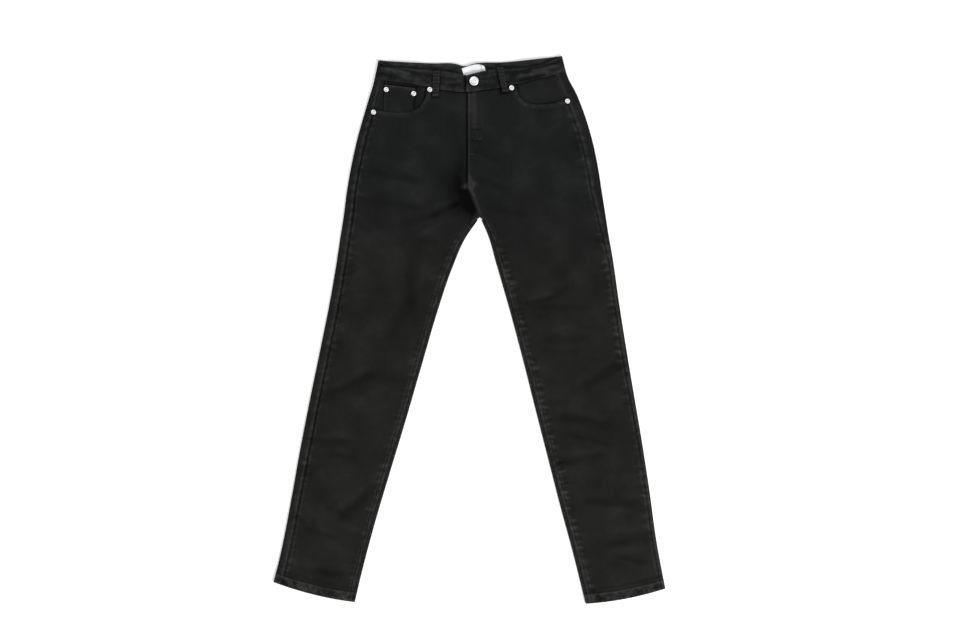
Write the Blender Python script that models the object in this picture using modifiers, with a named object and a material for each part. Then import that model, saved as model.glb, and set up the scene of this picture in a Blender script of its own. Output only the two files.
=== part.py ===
"""Slim five-pocket trousers of black twill, laid flat on their back with the front up.

X runs across the trousers, Y up towards the waist and Z away from the surface that they lie on.
Right and left are the wearer's, so the right leg lies at -X. All tables and sizes are in millimetres.
"""

import math

import bpy
import numpy as np

MM = 0.001

# Thickness of each kind of cloth
CLOTH = 1.1
BAND = 2.0
HEM = 1.9
LOOP = 1.0
COIN = 0.9
LABEL = 0.4
PATCH = 1.0

# What parts one piece from the next
SEAM = 0.3
HALF_SEAM = SEAM / 2

# How the flattened tube stands: its height at a fold and how much higher it is well inside
FOLD_HEIGHT = 3.2
LOFT = 2.2
LOFT_REACH = 22
WAIST_RISE = 1.3
HEM_RISE = 1.4
BAND_FOLD_HEIGHT = 4.9
BAND_LOFT = 2.6

# The felled seams that meet at the crotch stand this much higher, over this far
CROTCH_BULK = 0.8
CROTCH_BULK_REACH = 9

HEM_DEPTH = 15
INSEAM_WRAP = 5
FLY_LAP = 6.5
FLY_END = 312
FLY_RAISE = 1.5
FLY_WIDTH = 16
BAND_LAP_RIGHT = 14
BAND_LAP_LEFT = -6
SCOOP_RAISE = 1.45
SCOOP_LAP = 8
FACING_DROP = 0.1
COIN_RAISE = COIN + SEAM - FACING_DROP
UNDER_LIFT = PATCH + SEAM

# A section runs from the outer fold to the inner fold, or to the centre seam above the crotch.
# wrap is how far the back panel comes round the outer fold on to the front.
# Columns: name, outer x, outer y, inner x, inner y, wrap
RIGHT_SECTIONS = (
    ("top edge", -169.0, 499.8, -3.6, 476.5, 14),
    ("waist", -176.6, 463.5, -3.6, 440.1, 14),
    ("hip", -190.9, 414.8, -3.3, 401.8, 16),
    ("seat", -208.8, 351.5, -2.9, 347.8, 16),
    ("low seat", -220.9, 295.7, -3.3, 299.5, 16),
    ("fork", -228.0, 254.0, -3.0, 256.0, 16),
    ("crotch", -233.9, 208.3, 20.0, 208.3, 17),
    ("high thigh", -239.0, 176.0, -6.7, 170.0, 17),
    ("thigh", -246.2, 128.3, -31.7, 113.5, 17),
    ("low thigh", -258.8, 53.9, -60.0, 29.8, 17),
    ("knee", -277.4, -39.1, -89.4, -70.7, 17),
    ("below knee", -296.6, -132.1, -118.0, -169.3, 17),
    ("calf", -314.8, -225.1, -146.7, -264.1, 17),
    ("low calf", -331.4, -318.1, -174.9, -359.0, 16),
    ("ankle", -349.6, -411.1, -199.7, -452.0, 16),
    ("hem", -364.3, -470.6, -212.9, -507.8, 16),
)
LEFT_SECTIONS = (
    ("top edge", 172.5, 507.8, -3.6, 476.5, 20),
    ("waist", 180.0, 478.0, -3.6, 440.1, 20),
    ("hip", 201.9, 431.5, -3.3, 401.8, 22),
    ("seat", 228.7, 351.5, -2.9, 347.8, 21),
    ("low seat", 239.7, 299.5, -3.3, 299.5, 20),
    ("fork", 246.8, 254.0, -3.0, 256.0, 19),
    ("crotch", 254.0, 208.3, 20.0, 208.3, 15),
    ("high thigh", 258.6, 178.0, 35.8, 172.0, 12),
    ("thigh", 266.1, 135.8, 49.4, 124.6, 9),
    ("low thigh", 278.5, 50.2, 76.2, 31.6, 9),
    ("knee", 291.9, -35.3, 100.0, -57.7, 9),
    ("below knee", 306.8, -124.6, 123.0, -148.8, 8),
    ("calf", 321.9, -213.9, 146.3, -239.9, 7),
    ("low calf", 335.6, -303.2, 169.7, -331.1, 7),
    ("ankle", 347.9, -392.5, 193.9, -420.4, 7),
    ("hem", 364.7, -482.7, 216.2, -510.9, 7),
)

# The seam up the middle, front and back, as x and y from the crotch to the waistband's top
CENTRE_SEAM = (
    (20.0, 208.3),
    (6.0, 236.0),
    (-3.0, 262.0),
    (-3.3, 300.0),
    (-2.9, 348.0),
    (-3.3, 402.0),
    (-3.6, 440.0),
    (-3.6, 500.0),
)

# Edges that run across the top, each as x and y from the right side to the left
FRONT_SEAM = (
    (-176.6, 463.5),
    (-143.7, 459.8),
    (-113.9, 456.6),
    (-84.2, 450.5),
    (-54.4, 444.5),
    (-4.2, 440.1),
    (34.9, 444.9),
    (60.9, 448.6),
    (85.1, 454.2),
    (113.0, 461.3),
    (140.9, 467.6),
    (180.0, 478.0),
)
BACK_SEAM = (
    (-176.6, 463.5),
    (-113.9, 461.3),
    (-54.4, 457.6),
    (-2.3, 453.8),
    (57.2, 458.5),
    (113.0, 466.9),
    (180.0, 478.0),
)
BACK_TOP = (
    (-169.0, 499.8),
    (-125.1, 496.6),
    (-69.3, 494.2),
    (-24.6, 492.9),
    (-9.5, 488.8),
    (8.8, 493.5),
    (64.6, 496.1),
    (109.3, 500.3),
    (153.9, 505.5),
    (172.5, 507.8),
)
FRONT_TOP_RIGHT = (
    (-169.0, 499.8),
    (-158.6, 493.8),
    (-143.7, 488.8),
    (-113.9, 484.9),
    (-58.1, 479.5),
    (-24.6, 476.5),
    (-6.0, 471.5),
    (16.0, 469.5),
)
FRONT_TOP_LEFT = (
    (-8.0, 470.6),
    (7.0, 474.7),
    (20.0, 478.0),
    (53.5, 483.0),
    (79.5, 483.6),
    (109.3, 486.4),
    (131.6, 491.4),
    (153.9, 498.5),
    (172.5, 507.8),
)

# The pocket openings, from the side seam to the waistband
SCOOP_RIGHT = (
    (-175.3, 409.3),
    (-158.0, 404.8),
    (-136.0, 402.6),
    (-113.9, 403.6),
    (-95.3, 411.1),
    (-84.2, 425.9),
    (-77.5, 449.0),
)
SCOOP_LEFT = (
    (180.3, 428.4),
    (163.0, 421.8),
    (142.0, 418.0),
    (122.3, 417.8),
    (107.0, 420.9),
    (94.4, 431.5),
    (86.5, 454.4),
)

# The two upper corners of the coin pocket, and how much it narrows to its foot
COIN_TOP = ((-159.5, 454.5), (-98.5, 447.0))
COIN_TAPER = 5

YOKE_DROP_SIDE = 30
YOKE_CENTRE_Y = 380
CENTRE_BACK_Y = 453.8

# Soft troughs and ridges that show on the front.
# Columns: start x, start y, end x, end y, half width, height
FOLDS = (
    (-266, -89, -185, -119, 13, -0.8),
    (-260, -66, -190, -92, 14, 0.7),
    (-140, 140, -98, 104, 13, -0.7),
    (-296, -206, -222, -206, 13, -0.7),
    (-240, -300, -182, -345, 13, -0.8),
    (-268, -445, -231, -463, 11, -0.6),
    (-200, 330, -60, 300, 22, 0.5),
    (-210, 262, -90, 236, 20, -0.6),
    (109, 46, 184, 80, 13, -0.9),
    (112, 72, 190, 104, 15, 0.6),
    (141, -11, 243, -30, 13, -0.9),
    (150, 14, 240, -6, 13, 0.6),
    (219, -71, 275, -95, 12, -0.7),
    (156, -138, 249, -175, 13, -0.9),
    (187, -234, 243, -253, 12, -0.7),
    (215, -318, 280, -327, 12, -0.7),
    (252, -383, 336, -402, 13, -0.8),
    (262, -424, 299, -434, 11, 0.5),
    (60, 330, 200, 300, 22, 0.5),
    (90, 250, 215, 262, 20, -0.6),
    (-6, 246, -10, 222, 11, -1.3),
    (-14, 284, 4, 256, 9, 0.8),
    (4, 256, 18, 216, 9, 0.9),
)

# The patch pockets of the back. Columns: side, centre x, centre y
PATCH_PLACES = (
    ("right", -98, 284),
    ("left", 106, 286),
)
PATCH_WIDTH = 140
PATCH_DEPTH = 148
PATCH_TAPER = 5
PATCH_POINT = 24

# The belt loops of the back. Columns: name, x
BACK_LOOPS = (
    ("belt_loop_back_right", -118),
    ("belt_loop_back_centre", -3),
    ("belt_loop_back_left", 114),
)
LOOP_WIDTH = 12.5
LOOP_TAIL = 9

# The back is fully lifted this far round a pocket or loop under it, and lies down over the next stretch
LIFT_MARGIN = 15
LIFT_RUN = 14

# Columns: name, top x, top y, foot x, foot y, top width, foot width
FRONT_LOOPS = (
    ("belt_loop_front_right", -60.7, 480.0, -63.0, 432.1, 13.0, 11.5),
    ("belt_loop_front_left", 57.2, 486.4, 67.0, 440.8, 11.5, 11.0),
)
LOOP_ARCH = 1.3

# Columns: name, x, y
RIVETS = (
    ("rivet_side_right", -178.0, 403.0),
    ("rivet_coin_side", -154.3, 445.1),
    ("rivet_coin_front", -103.3, 437.5),
    ("rivet_scoop_right", -73.4, 445.0),
    ("rivet_scoop_left", 78.6, 448.2),
    ("rivet_side_left", 182.6, 423.5),
)
RIVET_RADIUS = 4.75
BUTTON_PLACE = (8.8, 460.7)
BUTTON_RADIUS = 8.5

LABEL_CENTRE = (9.0, 479.5)
LABEL_SIZE = (44, 25)
LABEL_TURN = 8

KINDS = {
    "twill": ((0.013, 0.013, 0.014), 0.92, 0.0),
    "metal": ((0.62, 0.62, 0.60), 0.28, 1.0),
    "label": ((0.85, 0.85, 0.84), 0.75, 0.0),
}


def smooth(knots, values, at):
    """A soft curve through the values, read at any place between the knots."""
    knots = np.asarray(knots, float)
    values = np.asarray(values, float)
    if knots[0] > knots[-1]:
        knots = knots[::-1]
        values = values[::-1]
    step = np.diff(knots)
    slope = np.diff(values) / step
    tangent = np.empty_like(values)
    tangent[1:-1] = (slope[:-1] * step[1:] + slope[1:] * step[:-1]) / (step[:-1] + step[1:])
    tangent[0] = slope[0]
    tangent[-1] = slope[-1]
    at = np.clip(np.asarray(at, float), knots[0], knots[-1])
    i = np.clip(np.searchsorted(knots, at) - 1, 0, len(step) - 1)
    u = (at - knots[i]) / step[i]
    rise = values[i + 1] - values[i]
    start = tangent[i] * step[i]
    end = tangent[i + 1] * step[i]
    return values[i] + u * start + u**2 * (3 * rise - 2 * start - end) + u**3 * (start + end - 2 * rise)


def ease(value):
    """0 below 0, 1 above 1 and a soft step between."""
    value = np.clip(value, 0, 1)
    return value * value * (3 - 2 * value)


def along_curve(points, count):
    """Points spread evenly along a soft curve through the given ones."""
    points = np.asarray(points, float)
    marks = np.concatenate([[0], np.cumsum(np.linalg.norm(np.diff(points, axis=0), axis=1))])
    fine = np.linspace(0, marks[-1], 200)
    line = np.stack([smooth(marks, points[:, 0], fine), smooth(marks, points[:, 1], fine)], axis=1)
    reach = np.concatenate([[0], np.cumsum(np.linalg.norm(np.diff(line, axis=0), axis=1))])
    even = np.linspace(0, reach[-1], count)
    return np.stack([np.interp(even, reach, line[:, 0]), np.interp(even, reach, line[:, 1])], axis=1)


def edge_y(edge, x):
    """The y of one of the edges across the top, at x."""
    return smooth([p[0] for p in edge], [p[1] for p in edge], x)


class Half:
    """One leg and its half of the hips, read from its table of sections."""

    def __init__(self, name, table, scoop):
        columns = list(zip(*table))
        self.name = name
        self.outer_x, self.outer_y = np.array(columns[1]), np.array(columns[2])
        self.inner_x, self.inner_y = np.array(columns[3]), np.array(columns[4])
        self.wrap = np.array(columns[5], float)
        rows = {row[0]: i for i, row in enumerate(table)}
        self.waist_y = self.outer_y[rows["waist"]]
        self.crotch_row = rows["crotch"]
        self.crotch_y = self.outer_y[self.crotch_row]
        self.hem_y = self.outer_y[rows["hem"]]
        self.crotch = np.array([self.inner_x[self.crotch_row], self.inner_y[self.crotch_row]])
        self.hem_start = np.array([self.outer_x[-1], self.outer_y[-1]])
        self.hem_end = np.array([self.inner_x[-1], self.inner_y[-1]])
        self.inward = -math.copysign(1, self.outer_x[0])
        self.scoop = np.array(scoop)

    def section(self, y):
        """The outer point, the inner point and the wrap of the section whose outer point is at y."""
        outer = np.array([float(self.outer_at(y)), y])
        part = slice(0, self.crotch_row + 1) if y > self.crotch_y else slice(self.crotch_row, None)
        inner_y = float(smooth(self.outer_y[part], self.inner_y[part], y))
        return outer, np.array([float(self.inner_at(inner_y)), inner_y]), float(smooth(self.outer_y, self.wrap, y))

    def outer_at(self, y):
        return smooth(self.outer_y, self.outer_x, y)

    def inner_at(self, y):
        """The x of the inner fold or, above the crotch, of the centre seam."""
        leg = smooth(self.inner_y[self.crotch_row:], self.inner_x[self.crotch_row:], y)
        seam = smooth([p[1] for p in CENTRE_SEAM], [p[0] for p in CENTRE_SEAM], y)
        return np.where(np.asarray(y) >= self.crotch[1], seam, leg)

    def from_hem(self, x, y):
        """How far above the hem a point is."""
        run = self.hem_end - self.hem_start
        run = run / np.linalg.norm(run)
        return abs((x - self.hem_start[0]) * run[1] - (y - self.hem_start[1]) * run[0])

    def from_folds(self, x, y):
        """The distances to the outer fold and to the inner fold, which starts at the crotch."""
        outer = abs(x - self.outer_at(y))
        below = abs(x - self.inner_at(y))
        above = np.hypot(x - self.crotch[0], y - self.crotch[1])
        return outer, np.where(y < self.crotch[1], below, above)

    def side_seam(self, y, reach):
        """A point on the section at y, a given reach in from the outer fold, as the front sees it."""
        outer, inner, _ = self.section(y)
        return outer + (inner - outer) / np.linalg.norm(inner - outer) * reach

    def seam_top(self):
        """The section where the side seam meets the waistband."""
        y = self.waist_y
        for _ in range(5):
            x, y_here = self.side_seam(y, float(self.wrap[1]))
            y -= y_here - (float(edge_y(FRONT_SEAM, x)) - HALF_SEAM)
        return y

    def fold_height(self, x, y):
        rise = WAIST_RISE * ease((y - 395) / 60)
        return FOLD_HEIGHT + rise + HEM_RISE * ease(2 - self.from_hem(x, y) / HEM_DEPTH)


HALVES = {
    "right": Half("right", RIGHT_SECTIONS, SCOOP_RIGHT),
    "left": Half("left", LEFT_SECTIONS, SCOOP_LEFT),
}


def folds_at(x, y):
    """The height that all the folds together add at a point."""
    total = np.zeros_like(x, float)
    for x0, y0, x1, y1, width, height in FOLDS:
        run = np.array([x1 - x0, y1 - y0], float)
        length = np.linalg.norm(run)
        run = run / length
        along = (x - x0) * run[0] + (y - y0) * run[1]
        off = (x - x0) * run[1] - (y - y0) * run[0]
        beyond = np.maximum(np.maximum(-along, along - length), 0)
        total += height * np.exp(-((off / width) ** 2) - (beyond / (1.5 * width)) ** 2)
    return total


def under_lift(x, y):
    """How far the pieces under the back hold it off the surface at a point."""
    boxes = [(cx, cy, PATCH_WIDTH / 2, PATCH_DEPTH / 2) for _, cx, cy in PATCH_PLACES]
    for _, cx in BACK_LOOPS:
        top = edge_y(BACK_TOP, cx)
        foot = edge_y(BACK_SEAM, cx) - LOOP_TAIL
        boxes.append((cx, (top + foot) / 2, LOOP_WIDTH / 2, (top - foot) / 2))
    total = np.zeros_like(x, float)
    for cx, cy, half_width, half_height in boxes:
        dx = np.maximum(abs(x - cx) - half_width - LIFT_MARGIN, 0)
        dy = np.maximum(abs(y - cy) - half_height - LIFT_MARGIN, 0)
        total = np.maximum(total, UNDER_LIFT * (1 - ease(np.hypot(dx, dy) / LIFT_RUN)))
    return total


def front_top(half, x, y):
    """The upper face of the front, without what is raised at the fly and the pockets."""
    outer, inner = half.from_folds(x, y)
    radius = FOLD_HEIGHT / 2
    outer = np.maximum(outer - radius, 0)
    inner = np.maximum(inner - radius, 0)
    share = (1 - np.exp(-outer / LOFT_REACH)) * (1 - np.exp(-inner / LOFT_REACH))
    folds = folds_at(x, y) * ease(outer / 20) * ease(inner / 12)
    bulk = CROTCH_BULK * np.exp(-((x - half.crotch[0]) ** 2 + (y - half.crotch[1]) ** 2) / CROTCH_BULK_REACH**2)
    return half.fold_height(x, y) + LOFT * share + folds + bulk


def scoop_raise(half, x, y):
    """The front's extra height where it lies over the pocket facing."""
    edge = along_curve(half.scoop, 40)
    away = np.hypot(np.asarray(x)[..., None] - edge[:, 0], np.asarray(y)[..., None] - edge[:, 1]).min(-1)
    return SCOOP_RAISE * (1 - ease((away - SCOOP_LAP - 4) / 26))


def fly_raise(x, y):
    """The extra height of the left front where it laps over the right one."""
    return FLY_RAISE * (1 - ease((x - FLY_WIDTH) / 16)) * ease((y - FLY_END + 34) / 22)


def band_top(x, y):
    """The upper face of the front of the waistband, before its ends lap."""
    x = np.asarray(x, float)
    right = HALVES["right"].outer_at(y)
    left = HALVES["left"].outer_at(y)
    outer = np.maximum(np.minimum(x - right, left - x) - BAND_FOLD_HEIGHT / 2, 0)
    return BAND_FOLD_HEIGHT + BAND_LOFT * (1 - np.exp(-outer / LOFT_REACH))


def band_lap_right(x):
    return -1.1 * ease((x + 30) / 22)


def band_lap_left(x):
    return 1.25 * (1 - ease((x - 16) / 30))


def material_for(name, kind):
    colour, roughness, metallic = KINDS[kind]
    material = bpy.data.materials.new(name + "_" + kind)
    material.use_nodes = True
    shader = material.node_tree.nodes["Principled BSDF"]
    shader.inputs["Base Color"].default_value = (*colour, 1)
    shader.inputs["Roughness"].default_value = roughness
    shader.inputs["Metallic"].default_value = metallic
    material.diffuse_color = (*colour, 1)
    return material


def add_mesh(name, points, faces, kind):
    mesh = bpy.data.meshes.new(name)
    mesh.from_pydata([tuple(p * MM) for p in points], [], faces)
    mesh.materials.append(material_for(name, kind))
    mesh.shade_smooth()
    mesh.set_sharp_from_angle(angle=math.radians(50))
    made = bpy.data.objects.new(name, mesh)
    bpy.data.collections["slim_trousers"].objects.link(made)
    return made


def wall(name, outer, thick, up, kind="twill"):
    """A closed wall of cloth behind a grid of outer points, whose first column faces up or down."""
    rows, columns = outer.shape[:2]
    normal = np.cross(np.gradient(outer, axis=1), np.gradient(outer, axis=0))
    normal = normal / np.linalg.norm(normal, axis=2, keepdims=True)
    if (normal[:, 0, 2].mean() > 0) != up:
        normal = -normal
    inner = outer - normal * thick
    points = np.concatenate([outer.reshape(-1, 3), inner.reshape(-1, 3)])
    back = rows * columns

    def at(row, column):
        return row * columns + column

    faces = []
    for r in range(rows - 1):
        for c in range(columns - 1):
            quad = (at(r, c), at(r, c + 1), at(r + 1, c + 1), at(r + 1, c))
            faces.append(quad)
            faces.append(tuple(back + v for v in reversed(quad)))
    rim = [at(0, c) for c in range(columns)]
    rim += [at(r, columns - 1) for r in range(1, rows)]
    rim += [at(rows - 1, c) for c in range(columns - 2, -1, -1)]
    rim += [at(r, 0) for r in range(rows - 2, 0, -1)]
    for a, b in zip(rim, rim[1:] + rim[:1]):
        faces.append((b, a, back + a, back + b))
    corner = np.cross(outer[0, 1] - outer[0, 0], outer[1, 0] - outer[0, 0])
    if np.dot(corner, normal[0, 0]) < 0:
        faces = [tuple(reversed(face)) for face in faces]
    return add_mesh(name, points, faces, kind)


def patch_between(top, foot, first, last):
    """A grid in plan whose four sides follow four lines that meet at its corners."""
    rows = len(first)
    columns = len(top)
    f = np.linspace(0, 1, rows)[:, None, None]
    s = np.linspace(0, 1, columns)[None, :, None]
    across = (1 - f) * top[None] + f * foot[None]
    down = (1 - s) * first[:, None] + s * last[:, None]
    corners = (1 - f) * ((1 - s) * top[0] + s * top[-1]) + f * ((1 - s) * foot[0] + s * foot[-1])
    return across + down - corners


def seam_point(half, y, side):
    """A point beside the side seam: side is -1 just on the back's side of it and 1 on the front's."""
    outer, inner, wrap = half.section(y)
    run = (inner - outer) / np.linalg.norm(inner - outer)
    return outer + run * (wrap + side * HALF_SEAM)


def front_rows(half):
    """The outer heights of the sections that the front is built on, from the seat to the hem."""
    seat = np.linspace(298, half.crotch_y, 6)
    fork = half.crotch_y - np.array([5, 12, 22])
    leg = np.linspace(half.crotch_y - 34, half.hem_y + HEM_DEPTH + 12, 36)
    hem = half.hem_y + np.array([HEM_DEPTH + 0.5, HEM_DEPTH - 0.5, 0])
    return np.concatenate([seat, fork, leg, hem])


def inseam_wrap(half, y):
    """How far the back comes round the inner fold, nothing at the crotch and full just below."""
    return INSEAM_WRAP * float(ease((half.crotch_y - y) / 5))


def front_section(half, y, columns):
    """The points across the front on one section, in plan."""
    outer, inner, wrap = half.section(y)
    length = np.linalg.norm(inner - outer)
    last = length - inseam_wrap(half, y) - HALF_SEAM
    reach = np.linspace(wrap + HALF_SEAM, last, columns)
    return outer + (inner - outer) / length * reach[:, None]


def front_panel(half):
    """A front, from the pocket edge and the waistband down to the hem."""
    scoop_columns = 9
    seam_columns = 6
    columns = scoop_columns + seam_columns - 1
    scoop = along_curve(half.scoop, scoop_columns)
    right = half.name == "right"
    lap = FLY_LAP if right else 0
    centre = half.inner_at(440) + half.inward * -HALF_SEAM
    end_x = centre + lap
    waist_x = np.linspace(scoop[-1, 0], end_x, seam_columns)
    waist_y = edge_y(FRONT_SEAM, waist_x) - HALF_SEAM
    scoop[-1, 1] = waist_y[0]
    top = np.concatenate([scoop[:-1], np.stack([waist_x, waist_y], axis=1)])
    rows = front_rows(half)
    foot = front_section(half, rows[0], columns)
    upper = 10
    seam_y = np.linspace(half.scoop[0, 1], rows[0], upper)
    first = np.array([seam_point(half, y, 1) for y in seam_y])
    first[0] = top[0]
    centre_y = np.linspace(waist_y[-1], foot[-1, 1], upper)
    lap_share = ease((centre_y - FLY_END) / 12)
    last = np.stack([half.inner_at(centre_y) - half.inward * HALF_SEAM + lap * lap_share, centre_y], axis=1)
    last[-1] = foot[-1]
    plan = patch_between(top, foot, first, last)
    legs = np.array([front_section(half, y, columns) for y in rows[1:]])
    plan = np.concatenate([plan, legs])
    x = plan[..., 0]
    y = plan[..., 1]
    z = front_top(half, x, y) + scoop_raise(half, x, y)
    if not right:
        z = z + fly_raise(x, y)
    thick = np.full((len(plan), 1, 1), CLOTH)
    thick[-2:] = HEM
    wall("front_" + half.name, np.stack([x, y, z], axis=2), thick, up=True)


def ring_row(half, y, inner, inseam=None, seam_share=0.0):
    """One row round the back: over the outer fold, along the surface and, on a leg, up the inner fold.

    inseam is how far a leg's row comes round its inner fold. A row above the crotch has none, and ends
    flat at the centre seam. seam_share is 1 where the row follows the waistband's seam.
    """
    outer, _, wrap = half.section(y)
    length = np.linalg.norm(inner - outer)
    run = (inner - outer) / length
    radius = float(half.fold_height(outer[0], outer[1])) / 2
    turn = np.radians([45, 0, -45])
    over = np.array([wrap - HALF_SEAM, (wrap + radius) / 2, radius])
    fold = radius - radius * np.cos(turn)
    flat_last = length - (30 if inseam is None else radius)
    under = np.concatenate([[radius, 13], np.linspace(26, flat_last - 14, 9), [flat_last]])
    reach = np.concatenate([over, fold, under])
    if inseam is not None:
        inner_fold = length - fold[::-1]
        rest = np.concatenate([inner_fold, [length - radius, length - inseam + HALF_SEAM]])
    else:
        rest = length - np.array([24, 18, 12, 6, HALF_SEAM])
    reach = np.concatenate([reach, rest])
    plan = outer + run * reach[:, None]
    drop = seam_share * (half.waist_y - half.seam_top())
    for i in range(3):
        plan[i] = half.side_seam(y - drop * reach[i] / wrap, reach[i])
    plan[3:, 1] += seam_share * (edge_y(BACK_SEAM, plan[3:, 0]) - HALF_SEAM - plan[3:, 1])
    x = plan[:, 0]
    y = plan[:, 1]
    z = under_lift(x, y) * ease((reach - radius) / 10)
    z[:3] = front_top(half, x[:3], y[:3])
    z[3:6] = radius + radius * np.sin(turn)
    if inseam is not None:
        z[-5:-2] = radius - radius * np.sin(turn)
        z[-2:] = front_top(half, x[-2:], y[-2:])
    return np.stack([x, y, z], axis=1)


def yoke_line(half):
    return half.waist_y - YOKE_DROP_SIDE


def centre_point(half, y):
    """A point of the centre seam, just on this half's side of it."""
    return np.array([float(half.inner_at(y)), y])


def yoke(half):
    """The yoke, from the waistband to the seam across the seat. It comes round the hip to the side seam."""
    grid = []
    for share in np.linspace(0, 1, 5):
        side = half.waist_y + share * (yoke_line(half) + HALF_SEAM - half.waist_y)
        centre = CENTRE_BACK_Y + share * (YOKE_CENTRE_Y + HALF_SEAM - CENTRE_BACK_Y)
        grid.append(ring_row(half, side, centre_point(half, centre), seam_share=1 - share))
    wall("yoke_" + half.name, np.array(grid), CLOTH, up=True)


def back_panel(half):
    """A back, from the yoke to the hem. It comes round both folds of the leg to meet the front."""
    grid = []
    for share in np.linspace(0, 1, 13):
        side = yoke_line(half) - HALF_SEAM + share * (half.crotch_y - yoke_line(half))
        centre = YOKE_CENTRE_Y - HALF_SEAM + share * (half.crotch[1] - YOKE_CENTRE_Y)
        grid.append(ring_row(half, max(side, half.crotch_y), centre_point(half, max(centre, half.crotch[1]))))
    rows = front_rows(half)
    below = rows[rows < half.crotch_y - 1]
    kept = np.concatenate([below[:12], below[13:-3:2], below[-3:]])
    for y in kept:
        grid.append(ring_row(half, y, half.section(y)[1], inseam_wrap(half, y)))
    thick = np.full((len(grid), 1, 1), CLOTH)
    thick[-2:] = HEM
    wall("back_" + half.name, np.array(grid), thick, up=True)


def band_run(x, low, top, share):
    """The y along one run of the waistband, a share of the way from its seam to its top edge."""
    seam = edge_y(low, x) + HALF_SEAM
    return seam + share * (edge_y(top, x) - seam)


def waistband():
    """The waistband: right front, right fold, back, left fold and left front, whose end laps over the right."""
    radius = BAND_FOLD_HEIGHT / 2
    turn = np.radians([45, 0, -45])
    fold_in = radius - radius * np.cos(turn)
    fold_z = radius + radius * np.sin(turn)
    grid = []
    for share in np.linspace(0, 1, 5):
        edges = [half.outer_x[1] + share * (half.outer_x[0] - half.outer_x[1]) for half in HALVES.values()]
        right, left = edges
        x = np.linspace(BAND_LAP_RIGHT, right + radius, 15)
        y = band_run(x, FRONT_SEAM, FRONT_TOP_RIGHT, share)
        front_right = np.stack([x, y, band_top(x, y) + band_lap_right(x)], axis=1)
        x = right + fold_in
        fold_right = np.stack([x, band_run(x, FRONT_SEAM, FRONT_TOP_RIGHT, share), fold_z], axis=1)
        x = np.linspace(right + radius, left - radius, 26)
        y = band_run(x, BACK_SEAM, BACK_TOP, share)
        inside = np.minimum(x - right, left - x) - radius
        back = np.stack([x, y, under_lift(x, y) * ease(inside / LIFT_MARGIN)], axis=1)
        x = left - fold_in[::-1]
        fold_left = np.stack([x, band_run(x, FRONT_SEAM, FRONT_TOP_LEFT, share), fold_z[::-1]], axis=1)
        x = np.linspace(left - radius, BAND_LAP_LEFT, 15)
        y = band_run(x, FRONT_SEAM, FRONT_TOP_LEFT, share)
        front_left = np.stack([x, y, band_top(x, y) + band_lap_left(x)], axis=1)
        grid.append(np.concatenate([front_right, fold_right, back, fold_left, front_left]))
    wall("waistband", np.array(grid), BAND, up=True)


def pocket_facing(half):
    """The facing behind a pocket opening, which reaches a little way under the front."""
    columns = 9
    rows = 6
    out = -half.inward
    scoop = along_curve(half.scoop, columns)
    run = np.gradient(scoop, axis=0)
    run = run / np.linalg.norm(run, axis=1, keepdims=True)
    foot = scoop + np.stack([run[:, 1] * -out, -run[:, 0] * -out], axis=1) * SCOOP_LAP
    seam_y = np.linspace(half.seam_top(), foot[0, 1], rows)
    first = np.array([seam_point(half, y, 1) for y in seam_y])
    foot[0] = first[-1]
    top_x = np.linspace(first[0, 0], foot[-1, 0], columns)
    top = np.stack([top_x, edge_y(FRONT_SEAM, top_x) - HALF_SEAM], axis=1)
    first[0] = top[0]
    foot[-1, 1] = top[-1, 1] - 4
    last = np.linspace(top[-1], foot[-1], rows)
    plan = patch_between(top, foot, first, last)
    x = plan[..., 0]
    y = plan[..., 1]
    z = front_top(half, x, y) - FACING_DROP
    wall("pocket_facing_" + half.name, np.stack([x, y, z], axis=2), CLOTH, up=True)


def coin_pocket():
    """The coin pocket on the right facing. Its foot ends just short of the edge of the front."""
    half = HALVES["right"]
    top = np.linspace(*COIN_TOP, 7)
    foot_x = np.linspace(COIN_TOP[0][0], COIN_TOP[1][0] - COIN_TAPER, 7)
    opening = along_curve(half.scoop, 60)[:40]
    foot_y = np.interp(foot_x, opening[:, 0], opening[:, 1]) + 2 * SEAM
    foot = np.stack([foot_x, foot_y], axis=1)
    plan = patch_between(top, foot, np.linspace(top[0], foot[0], 6), np.linspace(top[-1], foot[-1], 6))
    x = plan[..., 0]
    y = plan[..., 1]
    z = front_top(half, x, y) + COIN_RAISE
    wall("coin_pocket", np.stack([x, y, z], axis=2), COIN, up=True)


def patch_pocket(side, cx, cy):
    """A patch pocket of the back, which lies flat on the surface."""
    w = PATCH_WIDTH / 2
    d = PATCH_DEPTH / 2
    outline = (
        (-w, d),
        (w, d),
        (w - PATCH_TAPER, PATCH_POINT - d),
        (0, -d),
        (PATCH_TAPER - w, PATCH_POINT - d),
    )
    curve = bpy.data.curves.new("back_pocket_" + side, "CURVE")
    curve.dimensions = "2D"
    curve.fill_mode = "BOTH"
    curve.extrude = PATCH / 2 * MM
    spline = curve.splines.new("POLY")
    spline.points.add(len(outline) - 1)
    spline.use_cyclic_u = True
    for point, (x, y) in zip(spline.points, outline):
        point.co = (x * MM, y * MM, 0, 1)
    curve.materials.append(material_for("back_pocket_" + side, "twill"))
    made = bpy.data.objects.new("back_pocket_" + side, curve)
    made.location = (cx * MM, cy * MM, PATCH / 2 * MM)
    bpy.data.collections["slim_trousers"].objects.link(made)


def back_loop(name, x):
    """A belt loop of the back, flat between the waistband and the surface."""
    top = float(edge_y(BACK_TOP, x)) - 0.5
    foot = float(edge_y(BACK_SEAM, x)) - LOOP_TAIL
    xs, ys = np.meshgrid(np.array([-0.5, 0.5]) * LOOP_WIDTH + x, np.linspace(top, foot, 3))
    wall(name, np.stack([xs, ys, np.zeros_like(xs)], axis=2), LOOP, up=False)


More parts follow.
